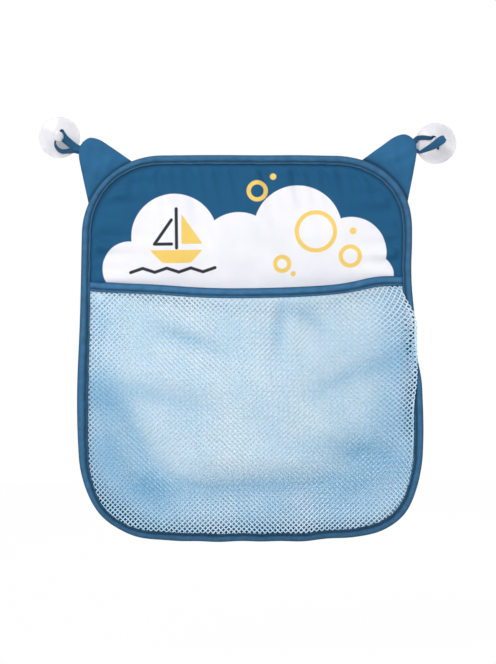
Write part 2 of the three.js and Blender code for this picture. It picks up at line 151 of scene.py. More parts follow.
def throughPoints(stations, steps):  # Catmull-Rom curve through rows of values, steps between two rows
    rows = np.asarray(stations, float)
    padded = np.vstack([2 * rows[0] - rows[1], rows, 2 * rows[-1] - rows[-2]])
    t = np.linspace(0.0, 1.0, steps, endpoint=False)[None, :, None]
    a, b, c, d = (padded[k:len(padded) - 3 + k, None, :] for k in range(4))
    bend, twist = 2 * a - 5 * b + 4 * c - d, 3 * (b - c) + d - a
    curve = 0.5 * (2 * b + (c - a) * t + bend * t ** 2 + twist * t ** 3)
    return np.vstack([curve.reshape(-1, rows.shape[1]), rows[-1:]])


# mesh helpers
def shadeSmooth(piece, on):
    piece.data.polygons.foreach_set("use_smooth", np.full(len(piece.data.polygons), on))


def faceOutwards(piece):  # merges doubles and turns the faces out
    work = bmesh.new()
    work.from_mesh(piece.data)
    bmesh.ops.remove_doubles(work, verts=work.verts, dist=0.002 * mm)
    bmesh.ops.dissolve_degenerate(work, edges=work.edges, dist=0.002 * mm)
    bmesh.ops.recalc_face_normals(work, faces=work.faces)
    work.to_mesh(piece.data)
    work.free()


def addMesh(name, points, faces, cornerUv=None, outwards=True, **marks):  # marks are values on the points
    used, faces = np.unique(faces, return_inverse=True)
    mesh = bpy.data.meshes.new(name)
    mesh.from_pydata((points.reshape(-1, 3)[used] * mm).tolist(), [], faces.reshape(-1, 4).tolist())
    if cornerUv is not None:
        mesh.uv_layers.new(name="UVMap").data.foreach_set("uv", (cornerUv * mm).ravel())
    for mark, values in marks.items():
        mesh.attributes.new(mark, "FLOAT", "POINT").data.foreach_set("value", np.ravel(values)[used])
    piece = bpy.data.objects.new(name, mesh)
    scene.collection.objects.link(piece)
    shadeSmooth(piece, True)
    if outwards:
        faceOutwards(piece)
    return piece


def cornersOf(grid):  # the four corners of each quad between neighbours of a grid
    return np.stack([grid[:-1, :-1], grid[1:, :-1], grid[1:, 1:], grid[:-1, 1:]], 2)


def gridFaces(rows, columns, closeRows=False, closeColumns=False):
    index = np.arange(rows * columns).reshape(rows, columns)
    index = np.vstack([index, index[:1]]) if closeRows else index
    index = np.hstack([index, index[:, :1]]) if closeColumns else index
    return cornersOf(index).reshape(-1, 4)


def gridUv(along, across):  # corner coordinates in mm for the same quads
    return cornersOf(np.stack(np.meshgrid(along, across, indexing="ij"), -1)).reshape(-1, 2)


def solidify(piece, thickness, backSlot=0):
    wall = piece.modifiers.new("cloth", "SOLIDIFY")
    wall.thickness = thickness * mm
    wall.offset = 0.0
    wall.material_offset = backSlot
    wall.material_offset_rim = backSlot


# node helpers
def plug(tree, socket, value):  # a link, or a value; colours are given without alpha
    if isinstance(value, bpy.types.NodeSocket):
        tree.links.new(value, socket)
    elif socket.type == "RGBA":
        socket.default_value = (*value, 1.0)
    else:
        socket.default_value = value


def addNode(tree, kind, inputs=None, **settings):
    node = tree.nodes.new("ShaderNode" + kind)
    for name, value in settings.items():
        setattr(node, name, value)
    for name, value in (inputs or {}).items():
        plug(tree, node.inputs[name], value)
    return node


def startMaterial(name):
    material = bpy.data.materials.new(name)
    material.use_nodes = True
    tree = material.node_tree
    tree.nodes.clear()
    shader = addNode(tree, "BsdfPrincipled")
    addNode(tree, "OutputMaterial", {"Surface": shader.outputs["BSDF"]})
    return material, tree, shader


def setShader(tree, shader, **values):  # sockets by their names in camelCase
    names = dict(
        colour="Base Color", roughness="Roughness", sheen="Sheen Weight", sheenRoughness="Sheen Roughness",
        specular="Specular IOR Level", ior="IOR", alpha="Alpha", normal="Normal")
    for name, value in values.items():
        plug(tree, shader.inputs[names[name]], value)


def calc(tree, operation, *values, clamp=False):
    node = addNode(tree, "Math", dict(enumerate(values)), operation=operation, use_clamp=clamp)
    return node.outputs[0]


def vector(tree, operation, *values):
    node = addNode(tree, "VectorMath", dict(enumerate(values)), operation=operation)
    return node.outputs["Value" if operation in ("DISTANCE", "LENGTH", "DOT_PRODUCT") else "Vector"]


def joined(tree, operation, values, *more):  # one value out of many, such as the least of some distances
    found = values[0]
    for value in values[1:]:
        found = calc(tree, operation, found, value, *more)
    return found


def mixColor(tree, share, a, b):
    return addNode(tree, "Mix", {0: share, 6: a, 7: b}, data_type="RGBA").outputs[2]


def remap(tree, value, low, high, toLow=0.0, toHigh=1.0, **settings):
    inputs = {0: value, 1: low, 2: high, 3: toLow, 4: toHigh}
    return addNode(tree, "MapRange", inputs, **settings).outputs[0]


def softStep(tree, value, start, end):  # 0 at start to 1 at end, eased
    return remap(tree, value, start, end, interpolation_type="SMOOTHSTEP")


def noise(tree, place, size, detail=2.0):  # soft blotches about size mm across
    scale = 1.0 / (size * mm)
    return addNode(tree, "TexNoise", {"Vector": place, "Scale": scale, "Detail": detail}).outputs[0]


def bands(tree, place, pitch, axis):  # straight ribs, pitch in mm, along one axis of the coordinates
    scale = math.pi / (10.0 * pitch * mm)
    return addNode(tree, "TexWave", {"Vector": place, "Scale": scale}, bands_direction=axis).outputs["Fac"]


def bump(tree, height, depth):
    return addNode(tree, "Bump", {"Height": height, "Distance": depth * mm}).outputs["Normal"]


def marked(tree, mark):  # a value kept on the mesh's points
    return addNode(tree, "Attribute", attribute_name=mark).outputs["Fac"]


def placeOn(tree, kind):  # Object coordinates, or the piece's own UV
    return addNode(tree, "TexCoord").outputs[kind]


# printed shapes, each as a signed distance in mm
printEdge = 0.35


def printed(tree, shapes):  # 1 inside any of the shapes, 0 outside
    return remap(tree, joined(tree, "MINIMUM", shapes), printEdge, -printEdge)


def disc(tree, spot, x, z, radius):
    return calc(tree, "SUBTRACT", vector(tree, "DISTANCE", spot, (x, 0.0, z)), radius)


def ring(tree, spot, circle, stroke):
    return calc(tree, "SUBTRACT", calc(tree, "ABSOLUTE", disc(tree, spot, *circle)), stroke / 2)


def roundEndedLine(tree, spot, ends, stroke):  # ends are x, z, x, z
    x1, z1, x2, z2 = ends
    run = np.array([x2 - x1, 0.0, z2 - z1])
    offset = vector(tree, "SUBTRACT", spot, (x1, 0.0, z1))
    share = vector(tree, "DOT_PRODUCT", offset, tuple(run / run.dot(run)))
    share = calc(tree, "MULTIPLY", share, 1.0, clamp=True)
    nearest = addNode(tree, "VectorMath", {0: tuple(run), "Scale": share}, operation="SCALE").outputs[0]
    return calc(tree, "SUBTRACT", vector(tree, "DISTANCE", offset, nearest), stroke / 2)


def polygon(tree, spot, corners, easing):  # a convex outline with eased corners, counter-clockwise
    edges = []
    for (x1, z1), (x2, z2) in zip(corners, corners[1:] + corners[:1]):
        size = math.hypot(x2 - x1, z2 - z1)
        out = ((z2 - z1) / size, 0.0, (x1 - x2) / size)
        reach = vector(tree, "DOT_PRODUCT", spot, out)
        edges.append(calc(tree, "SUBTRACT", reach, out[0] * x1 + out[2] * z1))
    return joined(tree, "SMOOTH_MAX", edges, easing)


def roundedBox(tree, spot, middle, half, radius):  # |p - middle| beyond the inner box, less the radius
    offset = vector(tree, "ABSOLUTE", vector(tree, "SUBTRACT", spot, middle))
    past = vector(tree, "SUBTRACT", offset, (half[0] - radius, 0.0, half[1] - radius))
    outside = vector(tree, "LENGTH", vector(tree, "MAXIMUM", past, (0.0, 0.0, 0.0)))
    return calc(tree, "SUBTRACT", outside, radius)


# the print: a bank of suds, bubbles and a toy boat, with water behind the net
printArt = dict(
    suds=[
        (-119, -127, 27), (-74, -96, 43), (-10, -112, 40), (49, -90, 44), (102, -113, 35), (124, -136, 20)],
    foot=((2, 0, -136), (122, 20), 8),
    water=[
        ((-30, 0, -155), (193, 95), 10), ((-4, 0, -238), (161, 132), 66),
        ((14, 0, -326), (154, 58), 58)],
    waterLine=((0, 0, -300), (400, 151), 4), deepFade=(8, -14), paleFade=(-10, -50),
    bubbles=[(67, -92, 19), (101, -117, 9.5), (33, -124, 7), (9, -51, 8.5)], bubbleStroke=4.2,
    drops=[(104, -92, 3.4), (25, -37, 3.2), (44, -134, 2.6)],
    hull=([(-86, -122), (-58, -122), (-46, -109), (-99, -109)], 3),
    sail=([(-67, -103), (-46, -103), (-67, -73)], 2),
    rigging=[(-72, -107, -72, -68), (-77, -103, -94, -103), (-94, -103, -77, -79)], lineStroke=3.2,
    rippleStart=(-118, -131), rippleStep=12, rippleHeight=4, rippleCount=7,
    mottle=0.03,
)
inks = dict(
    cloth=(0.0140, 0.098, 0.214),
    white=(0.88, 0.875, 0.925),
    deepWater=(0.46, 0.67, 0.835),
    paleWater=(0.84, 0.925, 0.965),
    yellow=(0.90, 0.62, 0.155),
    charcoal=(0.030, 0.031, 0.042),
)
# seam sets how dark the painted shade along seams and grooves is
clothLook = dict(
    weave=0.55, mottle=0.10, blotch=26.0, seam=0.55, roughness=(0.62, 0.78), rumple=(5.0, 3.0),
    rumpling=1.6, relief=0.09, sheen=dict(sheen=0.02, sheenRoughness=0.45, specular=0.1))
tapeLook = dict(
    slant=58.0, mottle=0.16, blotch=9.0, seam=0.6, roughness=(0.5, 0.68), rumple=(3.0, 2.0),
    rumpling=1.4, relief=0.12, sheen=dict(sheen=0.04, sheenRoughness=0.4, specular=0.18))
netLook = dict(
    # paintedShadeTone is the colour of the shade painted in the folds
    colour=(0.575, 0.78, 0.925), pale=(0.76, 0.885, 0.98), paintedShadeTone=(0.085, 0.385, 0.65),
    patch=40.0, patchRange=(0.35, 0.68), fibre=0.5, relief=0.1,
    sheen=dict(roughness=0.45, sheen=0.05, sheenRoughness=0.4, specular=0.25))
vinylLook = dict(
    cloudSize=14.0, dim=(0.64, 0.635, 0.70), clear=(0.95, 0.95, 0.985), roughness=(0.16, 0.26),
    ior=1.45, alpha=0.62)


# blotched colour, with painted shade in seams and grooves, the threads' ribs and a soft rumple
def weaveFinish(tree, shader, place, colour, threads, look, mottle):
    blotch = remap(tree, noise(tree, place, look["blotch"], 3.0), 0.3, 0.7, 1.0 - mottle, 1.0 + mottle)
    # painted shade: the colour is darkened where the mesh's seam mark is set
    paintedShadeTone = calc(tree, "SUBTRACT", 1.0, calc(tree, "MULTIPLY", marked(tree, "seam"), look["seam"]))
    value = calc(tree, "MULTIPLY", blotch, paintedShadeTone)
    height = calc(tree, "MULTIPLY_ADD", noise(tree, place, *look["rumple"]), look["rumpling"], threads)
    setShader(
        tree, shader, colour=addNode(tree, "HueSaturation", {"Value": value, "Color": colour}).outputs[0],
        roughness=remap(tree, threads, 0.0, 1.0, *look["roughness"]),
        normal=bump(tree, height, look["relief"]), **look["sheen"])


def clothFinish(tree, shader, place, colour, mottle):
    weave = clothLook["weave"]
    threads = calc(tree, "MULTIPLY", bands(tree, place, weave, "X"), bands(tree, place, weave, "Z"))
    weaveFinish(tree, shader, place, colour, threads, clothLook, mottle)


def printedCloth(art):
    material, tree, shader = startMaterial("printed_cloth")
    place = placeOn(tree, "Object")
    spot = vector(tree, "MULTIPLY", place, (1.0 / mm, 0.0, 1.0 / mm))
    suds = [disc(tree, spot, *circle) for circle in art["suds"]] + [roundedBox(tree, spot, *art["foot"])]
    shore = joined(tree, "MINIMUM", [roundedBox(tree, spot, *bank) for bank in art["water"]])
    wet = printed(tree, [roundedBox(tree, spot, *art["waterLine"])])
    toys = [ring(tree, spot, circle, art["bubbleStroke"]) for circle in art["bubbles"]]
    toys += [disc(tree, spot, *circle) for circle in art["drops"]]
    toys += [polygon(tree, spot, *art[part]) for part in ("hull", "sail")]
    x, z = art["rippleStart"]
    step, height = art["rippleStep"], art["rippleHeight"]
    crests = [(x + step * k, z + height * (k % 2)) for k in range(art["rippleCount"] + 1)]
    lines = art["rigging"] + [start + end for start, end in zip(crests, crests[1:])]
    lines = [roundEndedLine(tree, spot, ends, art["lineStroke"]) for ends in lines]
    colour = inks["cloth"]
    for fade, ink in (("deepFade", "deepWater"), ("paleFade", "paleWater")):
        share = calc(tree, "MULTIPLY", wet, softStep(tree, shore, *art[fade]))
        colour = mixColor(tree, share, colour, inks[ink])
    for shapes, ink in ((suds, "white"), (toys, "yellow"), (lines, "charcoal")):
        colour = mixColor(tree, printed(tree, shapes), colour, inks[ink])
    clothFinish(tree, shader, place, colour, art["mottle"])
    return material


def plainCloth(name, colour):
    material, tree, shader = startMaterial(name)
    clothFinish(tree, shader, placeOn(tree, "Object"), colour, clothLook["mottle"])
    return material


def tapeCloth(name, colour, twill=0.8):  # ribs run slanting across the tape
    material, tree, shader = startMaterial(name)
    place = placeOn(tree, "UV")
    slant = (0.0, 0.0, math.radians(tapeLook["slant"]))
    turned = addNode(tree, "Mapping", {"Vector": place, "Rotation": slant}).outputs[0]
    ribs = bands(tree, turned, twill, "X")
    weaveFinish(tree, shader, place, colour, ribs, tapeLook, tapeLook["mottle"])
    return material


def netThread(name, look):  # pale in patches, darker and bluer with painted shade in the folds
    material, tree, shader = startMaterial(name)
    place = placeOn(tree, "Object")
    patch = remap(tree, noise(tree, place, look["patch"]), *look["patchRange"])
    paintedFoldShade = calc(tree, "MULTIPLY", marked(tree, "fold"), 1.0, clamp=True)
    tint = mixColor(tree, paintedFoldShade, mixColor(tree, patch, look["colour"], look["pale"]), look["paintedShadeTone"])
    relief = bump(tree, noise(tree, place, look["fibre"]), look["relief"])
    setShader(tree, shader, colour=tint, normal=relief, **look["sheen"])
    return material


def softVinyl(name, look):
    material, tree, shader = startMaterial(name)
    cloud = noise(tree, placeOn(tree, "Object"), look["cloudSize"])
    setShader(
        tree, shader, colour=mixColor(tree, cloud, look["dim"], look["clear"]),
        roughness=remap(tree, cloud, 0.3, 0.7, *look["roughness"]), ior=look["ior"], alpha=look["alpha"])
    return material


finishes = dict(
    print=printedCloth(printArt),
    back=plainCloth("panel_cloth", inks["cloth"]),
    ear=plainCloth("ear_cloth", (0.0255, 0.128, 0.268)),
    tape=tapeCloth("edge_tape", (0.034, 0.135, 0.266)),
    mouthTape=tapeCloth("mouth_tape", (0.040, 0.160, 0.320)),
    thread=tapeCloth("sewing_thread", (0.016, 0.068, 0.145), twill=0.3),
    ribbon=tapeCloth("ribbon_cloth", (0.020, 0.105, 0.222), twill=0.45),
    net=netThread("net_thread", netLook),
    vinyl=softVinyl("clear_vinyl", vinylLook),
)
print("finishes made,", len(finishes))


def dress(piece, finish, body=None, nodes=()):
    for one in [finish] if isinstance(finish, str) else finish:
        piece.data.materials.append(finishes[one])
    if nodes:
        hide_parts(*nodes)
    if body:
        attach(piece, body)


# the bag's outline over its binding
bagShape = dict(topHalf=164.0, bottomHalf=176.0, topRadius=80.0, bottomRadius=84.0, arcSteps=48)
bagLow, bagHigh = nodeBox("edge_binding")
bagTop, bagBottom = bagHigh[2], bagLow[2]
lipBack, lipFront = bagHigh[1], bagLow[1]
lean = math.atan2(bagShape["bottomHalf"] - bagShape["topHalf"], bagTop - bagBottom)
topCentre = np.array([
    bagShape["topHalf"] - bagShape["topRadius"] * (1 - math.sin(lean)) / math.cos(lean),
    bagTop - bagShape["topRadius"]])
bottomCentre = np.array([
    bagShape["bottomHalf"] - bagShape["bottomRadius"] * (1 + math.sin(lean)) / math.cos(lean),
    bagBottom + bagShape["bottomRadius"]])
earCorner = topCentre + bagShape["topRadius"] * diagonal


def outlineCurve(shape):  # four arcs, centre + radius (cos a, sin a), joined by straight sides
    corners = [
        (1, bottomCentre, shape["bottomRadius"], -math.pi / 2, lean),
        (1, topCentre, shape["topRadius"], lean, math.pi / 2),
        (-1, topCentre, shape["topRadius"], math.pi / 2, math.pi - lean),
        (-1, bottomCentre, shape["bottomRadius"], math.pi - lean, math.pi * 1.5),
    ]
    places, normals = [], []
    for side, centre, radius, start, end in corners + corners[:1]:
        angle = np.linspace(start, end, shape["arcSteps"])
        normal = np.stack([np.cos(angle), np.sin(angle)], -1)
        places.append(centre * (side, 1) + radius * normal)
        normals.append(normal)
    count = len(corners) * shape["arcSteps"] + 1  # back to the first point
    return np.vstack(places)[:count], np.vstack(normals)[:count]


outlinePlaces, outlineNormals = outlineCurve(bagShape)
outlineRun = runAlong(outlinePlaces)
outlineLength = outlineRun[-1]


def alongOutline(run):  # points and outward normals (x, z) at distances round the outline
    at = np.mod(run, outlineLength)
    return rowsAt(at, outlineRun, outlinePlaces), unit(rowsAt(at, outlineRun, outlineNormals))


def halfWidth(z, inset=0.0):  # half the outline's width at a height: arc, leaning side, arc
    corners = ((topCentre, bagShape["topRadius"]), (bottomCentre, bagShape["bottomRadius"]))
    top, low = (
        centre[0] + np.sqrt(np.maximum((radius - inset) ** 2 - (z - centre[1]) ** 2, 0.0))
        for centre, radius in corners)
    side = bagShape["topHalf"] - inset / math.cos(lean) - (z - bagTop) * math.tan(lean)
    return np.where(z > topCentre[1], top, np.where(z < bottomCentre[1], low, side))


def roundInset(x, z, fromEnd, reach):  # distance inside the sides and one end, round the corners between
    fromSide = (bagShape["topHalf"] - np.abs(x)) * math.cos(lean) - (z - bagTop) * math.sin(lean)
    return reach - np.hypot(np.maximum(reach - fromSide, 0.0), np.maximum(reach - fromEnd, 0.0))


def fromEarCorner(place):  # distance of (x, z) from the nearer ear's corner
    return np.hypot(np.abs(place[:, 0]) - earCorner[0], place[:, 1] - earCorner[1])


# how the hanging cloth is pulled out of true; a pair gives where a change starts and ends
hang = dict(
    pull=6.2, drawnIn=(-40.0, -125.0), letGo=(-195.0, -250.0), pullAcross=(60.0, 160.0),
    bottomWave=0.6, waveLengths=(97.0, 41.0), wavePhase=1.7, waveFrom=(-330.0, -390.0),
    tugs=[  # middle x, z and reach of a soft tug, and how far it moves the cloth along x and z
        (-173, -245, 50, -1.6, 0), (-172, -340, 36, 2.7, 0),
        (-105, -400, 55, 0, 2.4), (90, -398, 26, 0, 2.6),
        (172, -333, 32, -3, 0), (148, -375, 20, 1.7, -1.1),
        (160, -108, 20, 1.5, 0), (160, -178, 20, 1.7, 0),
        (96, -16, 42, 0, -2.3), (20, -14, 40, 0, -0.9)])


def hung(points):  # the right edge drawn in below its corner, the bottom edge a little wavy, and the tugs
    x, y, z = points[..., 0], points[..., 1], points[..., 2]
    drawn = ease(z, *hang["drawnIn"]) * (1.0 - ease(z, *hang["letGo"])) * ease(x, *hang["pullAcross"])
    newX = x - hang["pull"] * drawn
    wavy = waves(newX, hang["waveLengths"], hang["wavePhase"]) * ease(z, *hang["waveFrom"])
    newZ = z + hang["bottomWave"] * wavy
    for tug in hang["tugs"]:
        share = softSpot(x, z, tug)
        newX, newZ = newX + share * tug[3], newZ + share * tug[4]
    return np.stack([newX, y, newZ], -1)


# back panel: rows of points across the outline, rumpled along the binding
panel = dict(
    inset=1.7, rowStep=2.2, arcRows=30, columns=200, thickness=0.8, lip=9.7, rim=10.0,
    free=(-175.0, -135.0), slackX=-12.0, slackReach=60.0, slackDrop=20.0,
    leaning=4.5, leanZ=-172.0, leanReach=24.0, swell=3.0, forwardBy=0.4,
    pucker=6.8, puckerReach=20.0, topWaves=(15.0, 27.0, 41.0), sideWaves=(27.0, 17.0),
    crease=0.8, creaseX=-148.0, creaseZ=-86.0, creaseSlope=0.1, creaseLength=16.0, creaseWidth=3.0,
    tuck=1.0, tuckReach=5.0, tuckWaves=(9.0, 14.0), tuckFrom=2.0,
    draw=1.9, drawReach=12.0, shade=0.55, shadeReach=2.4)


def makePanel(p):  # y is the panel's middle less puckers, swell, tucks and the lean, all over x and z
    low, high = nodeBox("back_panel")
    turns = np.linspace(math.pi / 2, lean, p["arcRows"]), np.linspace(lean, -math.pi / 2, p["arcRows"])
    topRows = topCentre[1] + (bagShape["topRadius"] - p["inset"]) * np.sin(turns[0])
    lowRows = bottomCentre[1] + (bagShape["bottomRadius"] - p["inset"]) * np.sin(turns[1])
    sideRows = np.arange(topRows[-1] - p["rowStep"], lowRows[0] + p["rowStep"] / 2, -p["rowStep"])
    levels = np.concatenate([topRows, sideRows, lowRows])
    z, u = np.meshgrid(levels, np.linspace(-1.0, 1.0, p["columns"]), indexing="ij")
    x = u * halfWidth(z, p["inset"])
    edge = roundInset(x, z, bagTop - z, bagShape["topRadius"]) - p["lip"]
    inner = ease(edge, 0.0, p["rim"])
    slack = hill((x - p["slackX"]) / p["slackReach"])  # the middle hangs loose and leans towards the mouth
    free = ease(z + p["slackDrop"] * slack, *p["free"])  # free above the mouth, flat behind the net
    beside = halfWidth(z) - np.abs(x) - p["lip"]
    top = fallOff(bagTop - z - p["lip"], p["puckerReach"]) * waves(x + 0.2 * z, p["topWaves"], 0.9)
    side = fallOff(beside, p["puckerReach"]) * waves(z, p["sideWaves"], 2.1 + np.sign(x))
    soft = 0.5 + 0.5 * waves(x + 0.6 * z, (118.0, 171.0), 0.4) * waves(z - 0.3 * x, (133.0, 83.0), 1.9)
    crease = hill((x - p["creaseX"]) / p["creaseLength"])
    crease = crease * hill((z - p["creaseZ"] - p["creaseSlope"] * x) / p["creaseWidth"])
    rise = free * ((p["pucker"] * (top + side) + p["swell"] * soft) * inner + p["crease"] * crease)
    tuck = fallOff(edge, p["tuckReach"]) * waves(x + z, p["tuckWaves"], 0.3)  # short, by each stitch
    tuck = p["tuck"] * tuck * ease(edge, 0.0, p["tuckFrom"])
    drawn = p["draw"] * ease(edge, p["drawReach"], 0.0)  # the stitched lip pulls the cloth forward
    leaning = p["leaning"] * slack * hill((z - p["leanZ"]) / p["leanReach"])
    front = np.maximum(rise + p["forwardBy"], 0.0) * inner + free * (drawn + tuck) + leaning
    y = (low[1] + high[1]) / 2 - front
    seam = p["shade"] * free * ease(edge, p["shadeReach"], 0.0)  # painted shade beside the binding
    points = hung(np.stack([x, y, z], -1))
    piece = addMesh("back_panel_cloth", points, gridFaces(*x.shape), outwards=False, seam=seam)
    solidify(piece, p["thickness"], backSlot=1)
    dress(piece, ("print", "back"), "bag", ["back_panel"])


makePanel(panel)
print("panel sewn")

# binding: one folded section carried round the outline
binding = dict(
    step=1.0, width=9.4, groove=6.9, puff=1.4, backPuff=0.75,
    inside=[(1.1, 0.9), (6.0, 0.62)], lipInside=(0.3, 0.48),  # insets and depths inside the fold
    flutter=0.3, rippleWaves=(23.0, 37.0, 14.0), ripple=0.22, dimple=0.22, dimpleReach=0.9,
    behindEar=(44.0, 58.0), clearOfEar=52.0,
    lipShade=0.35, lipShaded=(-140.0, -190.0), lowShade=0.3, lowShaded=(-350.0, -395.0),
    pitch=3.1, stitchLength=2.3, stitchRadius=0.3, stitchLift=0.22, backSink=0.1,
    widths=[  # middle x, z and reach of a stretch that shows wider or narrower, and by what share
        (-138, -368, 40, -0.2), (0, -404, 110, -0.14), (-140, -38, 36, -0.16),
        (140, -38, 36, 0.05), (-176, -250, 70, 0.2)])
tapePaintedShade = np.array([0.9, 0.4, 0.25, 0.6, 1.0, 0.7, 0.15, 0.0, 0.0, 0.1, 0.8])  # painted shade round the section, dark in the groove and folds
tapeTurn = 0.6  # last step round a tape's section, mm


def tapeSection(width, groove):  # (inset, height) over a face: lip, stitched groove, rounded band, fold
    return np.array([
        (width, -0.10), (width - 0.4, 0.34), (width - 1.3, 0.48), (groove + 0.8, 0.20), (groove, -0.42),
        (groove - 0.7, 0.10), (groove * 0.78, 0.76), (groove * 0.57, 1.0), (groove * 0.38, 1.0),
        (groove * 0.2, 0.70), (groove * 0.07, -0.1)])


def puffed(section, low, puff):  # heights of a section, its band scaled by puff and the rest by low
    return np.where(section[:, 1] < 0.5, low, puff) * section[:, 1]


def tapeUv(along, loop):  # along the tape and round its section
    across = runAlong(loop)
    return gridUv(along, np.append(across, across[-1] + tapeTurn))


def tapeShare(b, place):  # 1 on most of the edge
    return 1.0 + sum(spot[3] * softSpot(place[:, :1], place[:, 1:], spot) for spot in b["widths"])


def makeBinding(b):  # edge - normal * inset, with each height of the section as y
    run = np.arange(0.0, outlineLength, outlineLength / round(outlineLength / b["step"]))
    place, normal = alongOutline(run)
    section = tapeSection(b["width"], b["groove"])
    inside = np.array([*b["inside"], (b["width"] - b["lipInside"][0], b["lipInside"][1])])
    bare = ease(fromEarCorner(place), *b["behindEar"])[:, None]  # 0 where an ear covers the back
    ripple = waves(run, b["rippleWaves"], 1.3)[:, None]
    dimple = (0.5 - 0.5 * np.cos(2.0 * np.pi * run / b["pitch"]))[:, None]  # deepest at each stitch
    dimple = dimple * hill((section[:, 0] - b["groove"]) / b["dimpleReach"])
    rising = 1.0 + b["ripple"] * ripple * np.clip(section[:, 1], 0.0, 1.0)
    front = lipFront - puffed(section, 1.0, b["puff"]) * rising - b["dimple"] * dimple
    back = lipBack + puffed(section, 0.6, b["backPuff"]) * bare - b["backSink"] * (1.0 - bare)
    fold = np.full((len(run), 1), (lipFront + lipBack) / 2)
    hidden = np.concatenate([lipBack - inside[::-1, 1], lipFront + inside[:, 1]])
    height = np.hstack([front, fold, back[:, ::-1], np.tile(hidden, (len(run), 1))])
    inset = np.concatenate([section[:, 0], [0.0], section[::-1, 0], inside[::-1, 0], inside[:, 0]])
    inset = (inset + b["flutter"] * ripple * (inset > b["groove"] - 1.0)) * tapeShare(b, place)
    flat = place[:, None] - normal[:, None] * inset[..., None]
    # painted shade: dark in the groove and folds and on the hidden inside, on the lip lower down, and along
    # the bottom
    seam = np.concatenate([tapePaintedShade, [0.9], tapePaintedShade[::-1], np.ones(len(hidden))])
    lip = (np.arange(len(seam)) < 4) * b["lipShade"]  # the lip lies in the pocket's shade further down
    shaded = lip * ease(place[:, 1:], *b["lipShaded"]) + b["lowShade"] * ease(place[:, 1:], *b["lowShaded"])
    faces = gridFaces(*height.shape, closeRows=True, closeColumns=True)
    uv = tapeUv(np.append(run, outlineLength), np.stack([inset[0], height[0]], -1))
    seam = np.clip(seam + shaded, 0.0, 1.0)
    piece = addMesh("edge_binding_tape", hung(upright(flat, height)), faces, uv, seam=seam)
    dress(piece, "tape", "bag", ["edge_binding"])


# each stitch is a spindle of four rings, shut at both ends; rows hold places, tangents and ways out
def sewStitches(name, rows, s):
    places, tangents, outs = (np.vstack(column)[:, None, None] for column in zip(*rows))
    share = (np.array([-1.0, -0.55, 0.55, 1.0]) * s["stitchLength"] / 2)[:, None, None]
    girth = (np.array([0.25, 1.0, 1.0, 0.25]) * s["stitchRadius"])[:, None, None]
    angle = (np.arange(4) * math.pi / 2 + math.pi / 4)[:, None]
    spokes = np.cos(angle) * np.cross(tangents, outs) + np.sin(angle) * outs
    points = places + tangents * share + girth * spokes
    one = np.vstack([gridFaces(4, 4, closeColumns=True), [[0, 1, 2, 3], [15, 14, 13, 12]]])
    faces = (one + 16 * np.arange(len(places))[:, None, None]).reshape(-1, 4)
    dress(addMesh(name, points, faces, np.zeros((faces.size, 2))), "thread", "bag")


def makeEdgeStitches(b):
    count = round(outlineLength / b["pitch"])
    place, normal = alongOutline(np.arange(count) * outlineLength / count)
    flat = place - normal * b["groove"] * tapeShare(b, place)
    tangent = upright(np.stack([-normal[:, 1], normal[:, 0]], -1), 0.0)
    clear = fromEarCorner(place) > b["clearOfEar"]
    rows = []
    everywhere = np.full(count, True)
    for level, keep in ((lipFront + b["stitchLift"], everywhere), (lipBack - b["backSink"], clear)):
        spots = hung(upright(flat, level))[keep]
        rows.append((spots, tangent[keep], np.broadcast_to(forward, spots.shape)))
    sewStitches("edge_stitches", rows, b)


makeBinding(binding)
makeEdgeStitches(binding)
print("binding folded and stitched")

# net pocket: threads on a bulged surface, with soft folds
pocket = dict(
    mouthInset=10.0, seamForward=0.65, sag=9.0,
    lifts=[(132.0, 28.0, 4.0), (-95.0, 40.0, 1.7)],  # of the top edge: middle x, reach, height
    mouthBulge=20.0, bellyBulge=34.0, bellyDrop=100.0, ramp=150.0, start=4.2, swellPower=1.4,
    foldsFrom=0.25, foldsBelow=(4.0, 29.0), pitch=3.65, span=0.792, wander=1.3, underLip=6.0, underTape=5.5,
    edgeWidth=1.2, threadWidth=1.27, slackFrom=0.6, threadThickness=0.8, weave=0.24, weaveBelow=(8.0, 14.0),
    weaveInset=9.0, weaveFrom=5.0, blueAndPaintedShade=0.12, paintedStrandLight=0.2, upperWaves=(190.0, 133.0), probe=0.5)
overhang = dict(  # slack over the right-hand binding, and the heights between which it changes
    reach=19.0, forward=5.5, grows=(-132.0, -188.0), thins=(-194.0, -286.0), kept=0.3,
    ends=(-302.0, -352.0), turn=8.0, front=3.0, crest=12.0, settle=70.0)
netHigh = nodeBox("pocket_net")[1]
mouthEnd = netHigh[2]
netSeam = netHigh[1] - pocket["seamForward"]
mouthHalf = float(halfWidth(np.array(mouthEnd), pocket["mouthInset"]))
netFolds = [  # middle x, z, half length, half width, slope in degrees, height to the front, depth of painted shade
    (-143, -256, 30, 17, -32, -4, 0.48),
    (-140, -306, 46, 27, 78, -3, 0.5),
    (-104, -338, 38, 25, -62, -7, 0.56),
    (-114, -294, 36, 9, -66, -4, 0.20),
    (-122, -276, 40, 9, -38, 3, 0),
    (-58, -199, 34, 7.5, -18, -4.5, 0.45),
    (-70, -182, 40, 9, -16, 3, 0),
    (-83, -257, 48, 9, -14, -4, 0.32),
    (-70, -236, 52, 10, -15, 3, 0),
    (0, -343, 106, 14, 2, -6, 0.56),
    (0, -318, 90, 13, -2, 3.5, 0),
    (0, -366, 140, 22, 0, 0, 0.10),
    (29, -184, 30, 7.5, 82, -4.5, 0.45),
    (44, -196, 30, 8, 78, 3, 0),
    (61, -180, 22, 8, -34, -4, 0.36),
    (97, -235, 40, 10, 27, -5, 0.45),
    (84, -210, 40, 11, 27, 3.5, 0),
    (136, -232, 40, 20, 84, -3, 0.28),
    (112, -314, 42, 17, -8, -6.5, 0.66),
    (116, -292, 38, 18, 10, 2.5, 0.28),
    (110, -344, 44, 20, 12, -2, 0.45),
]


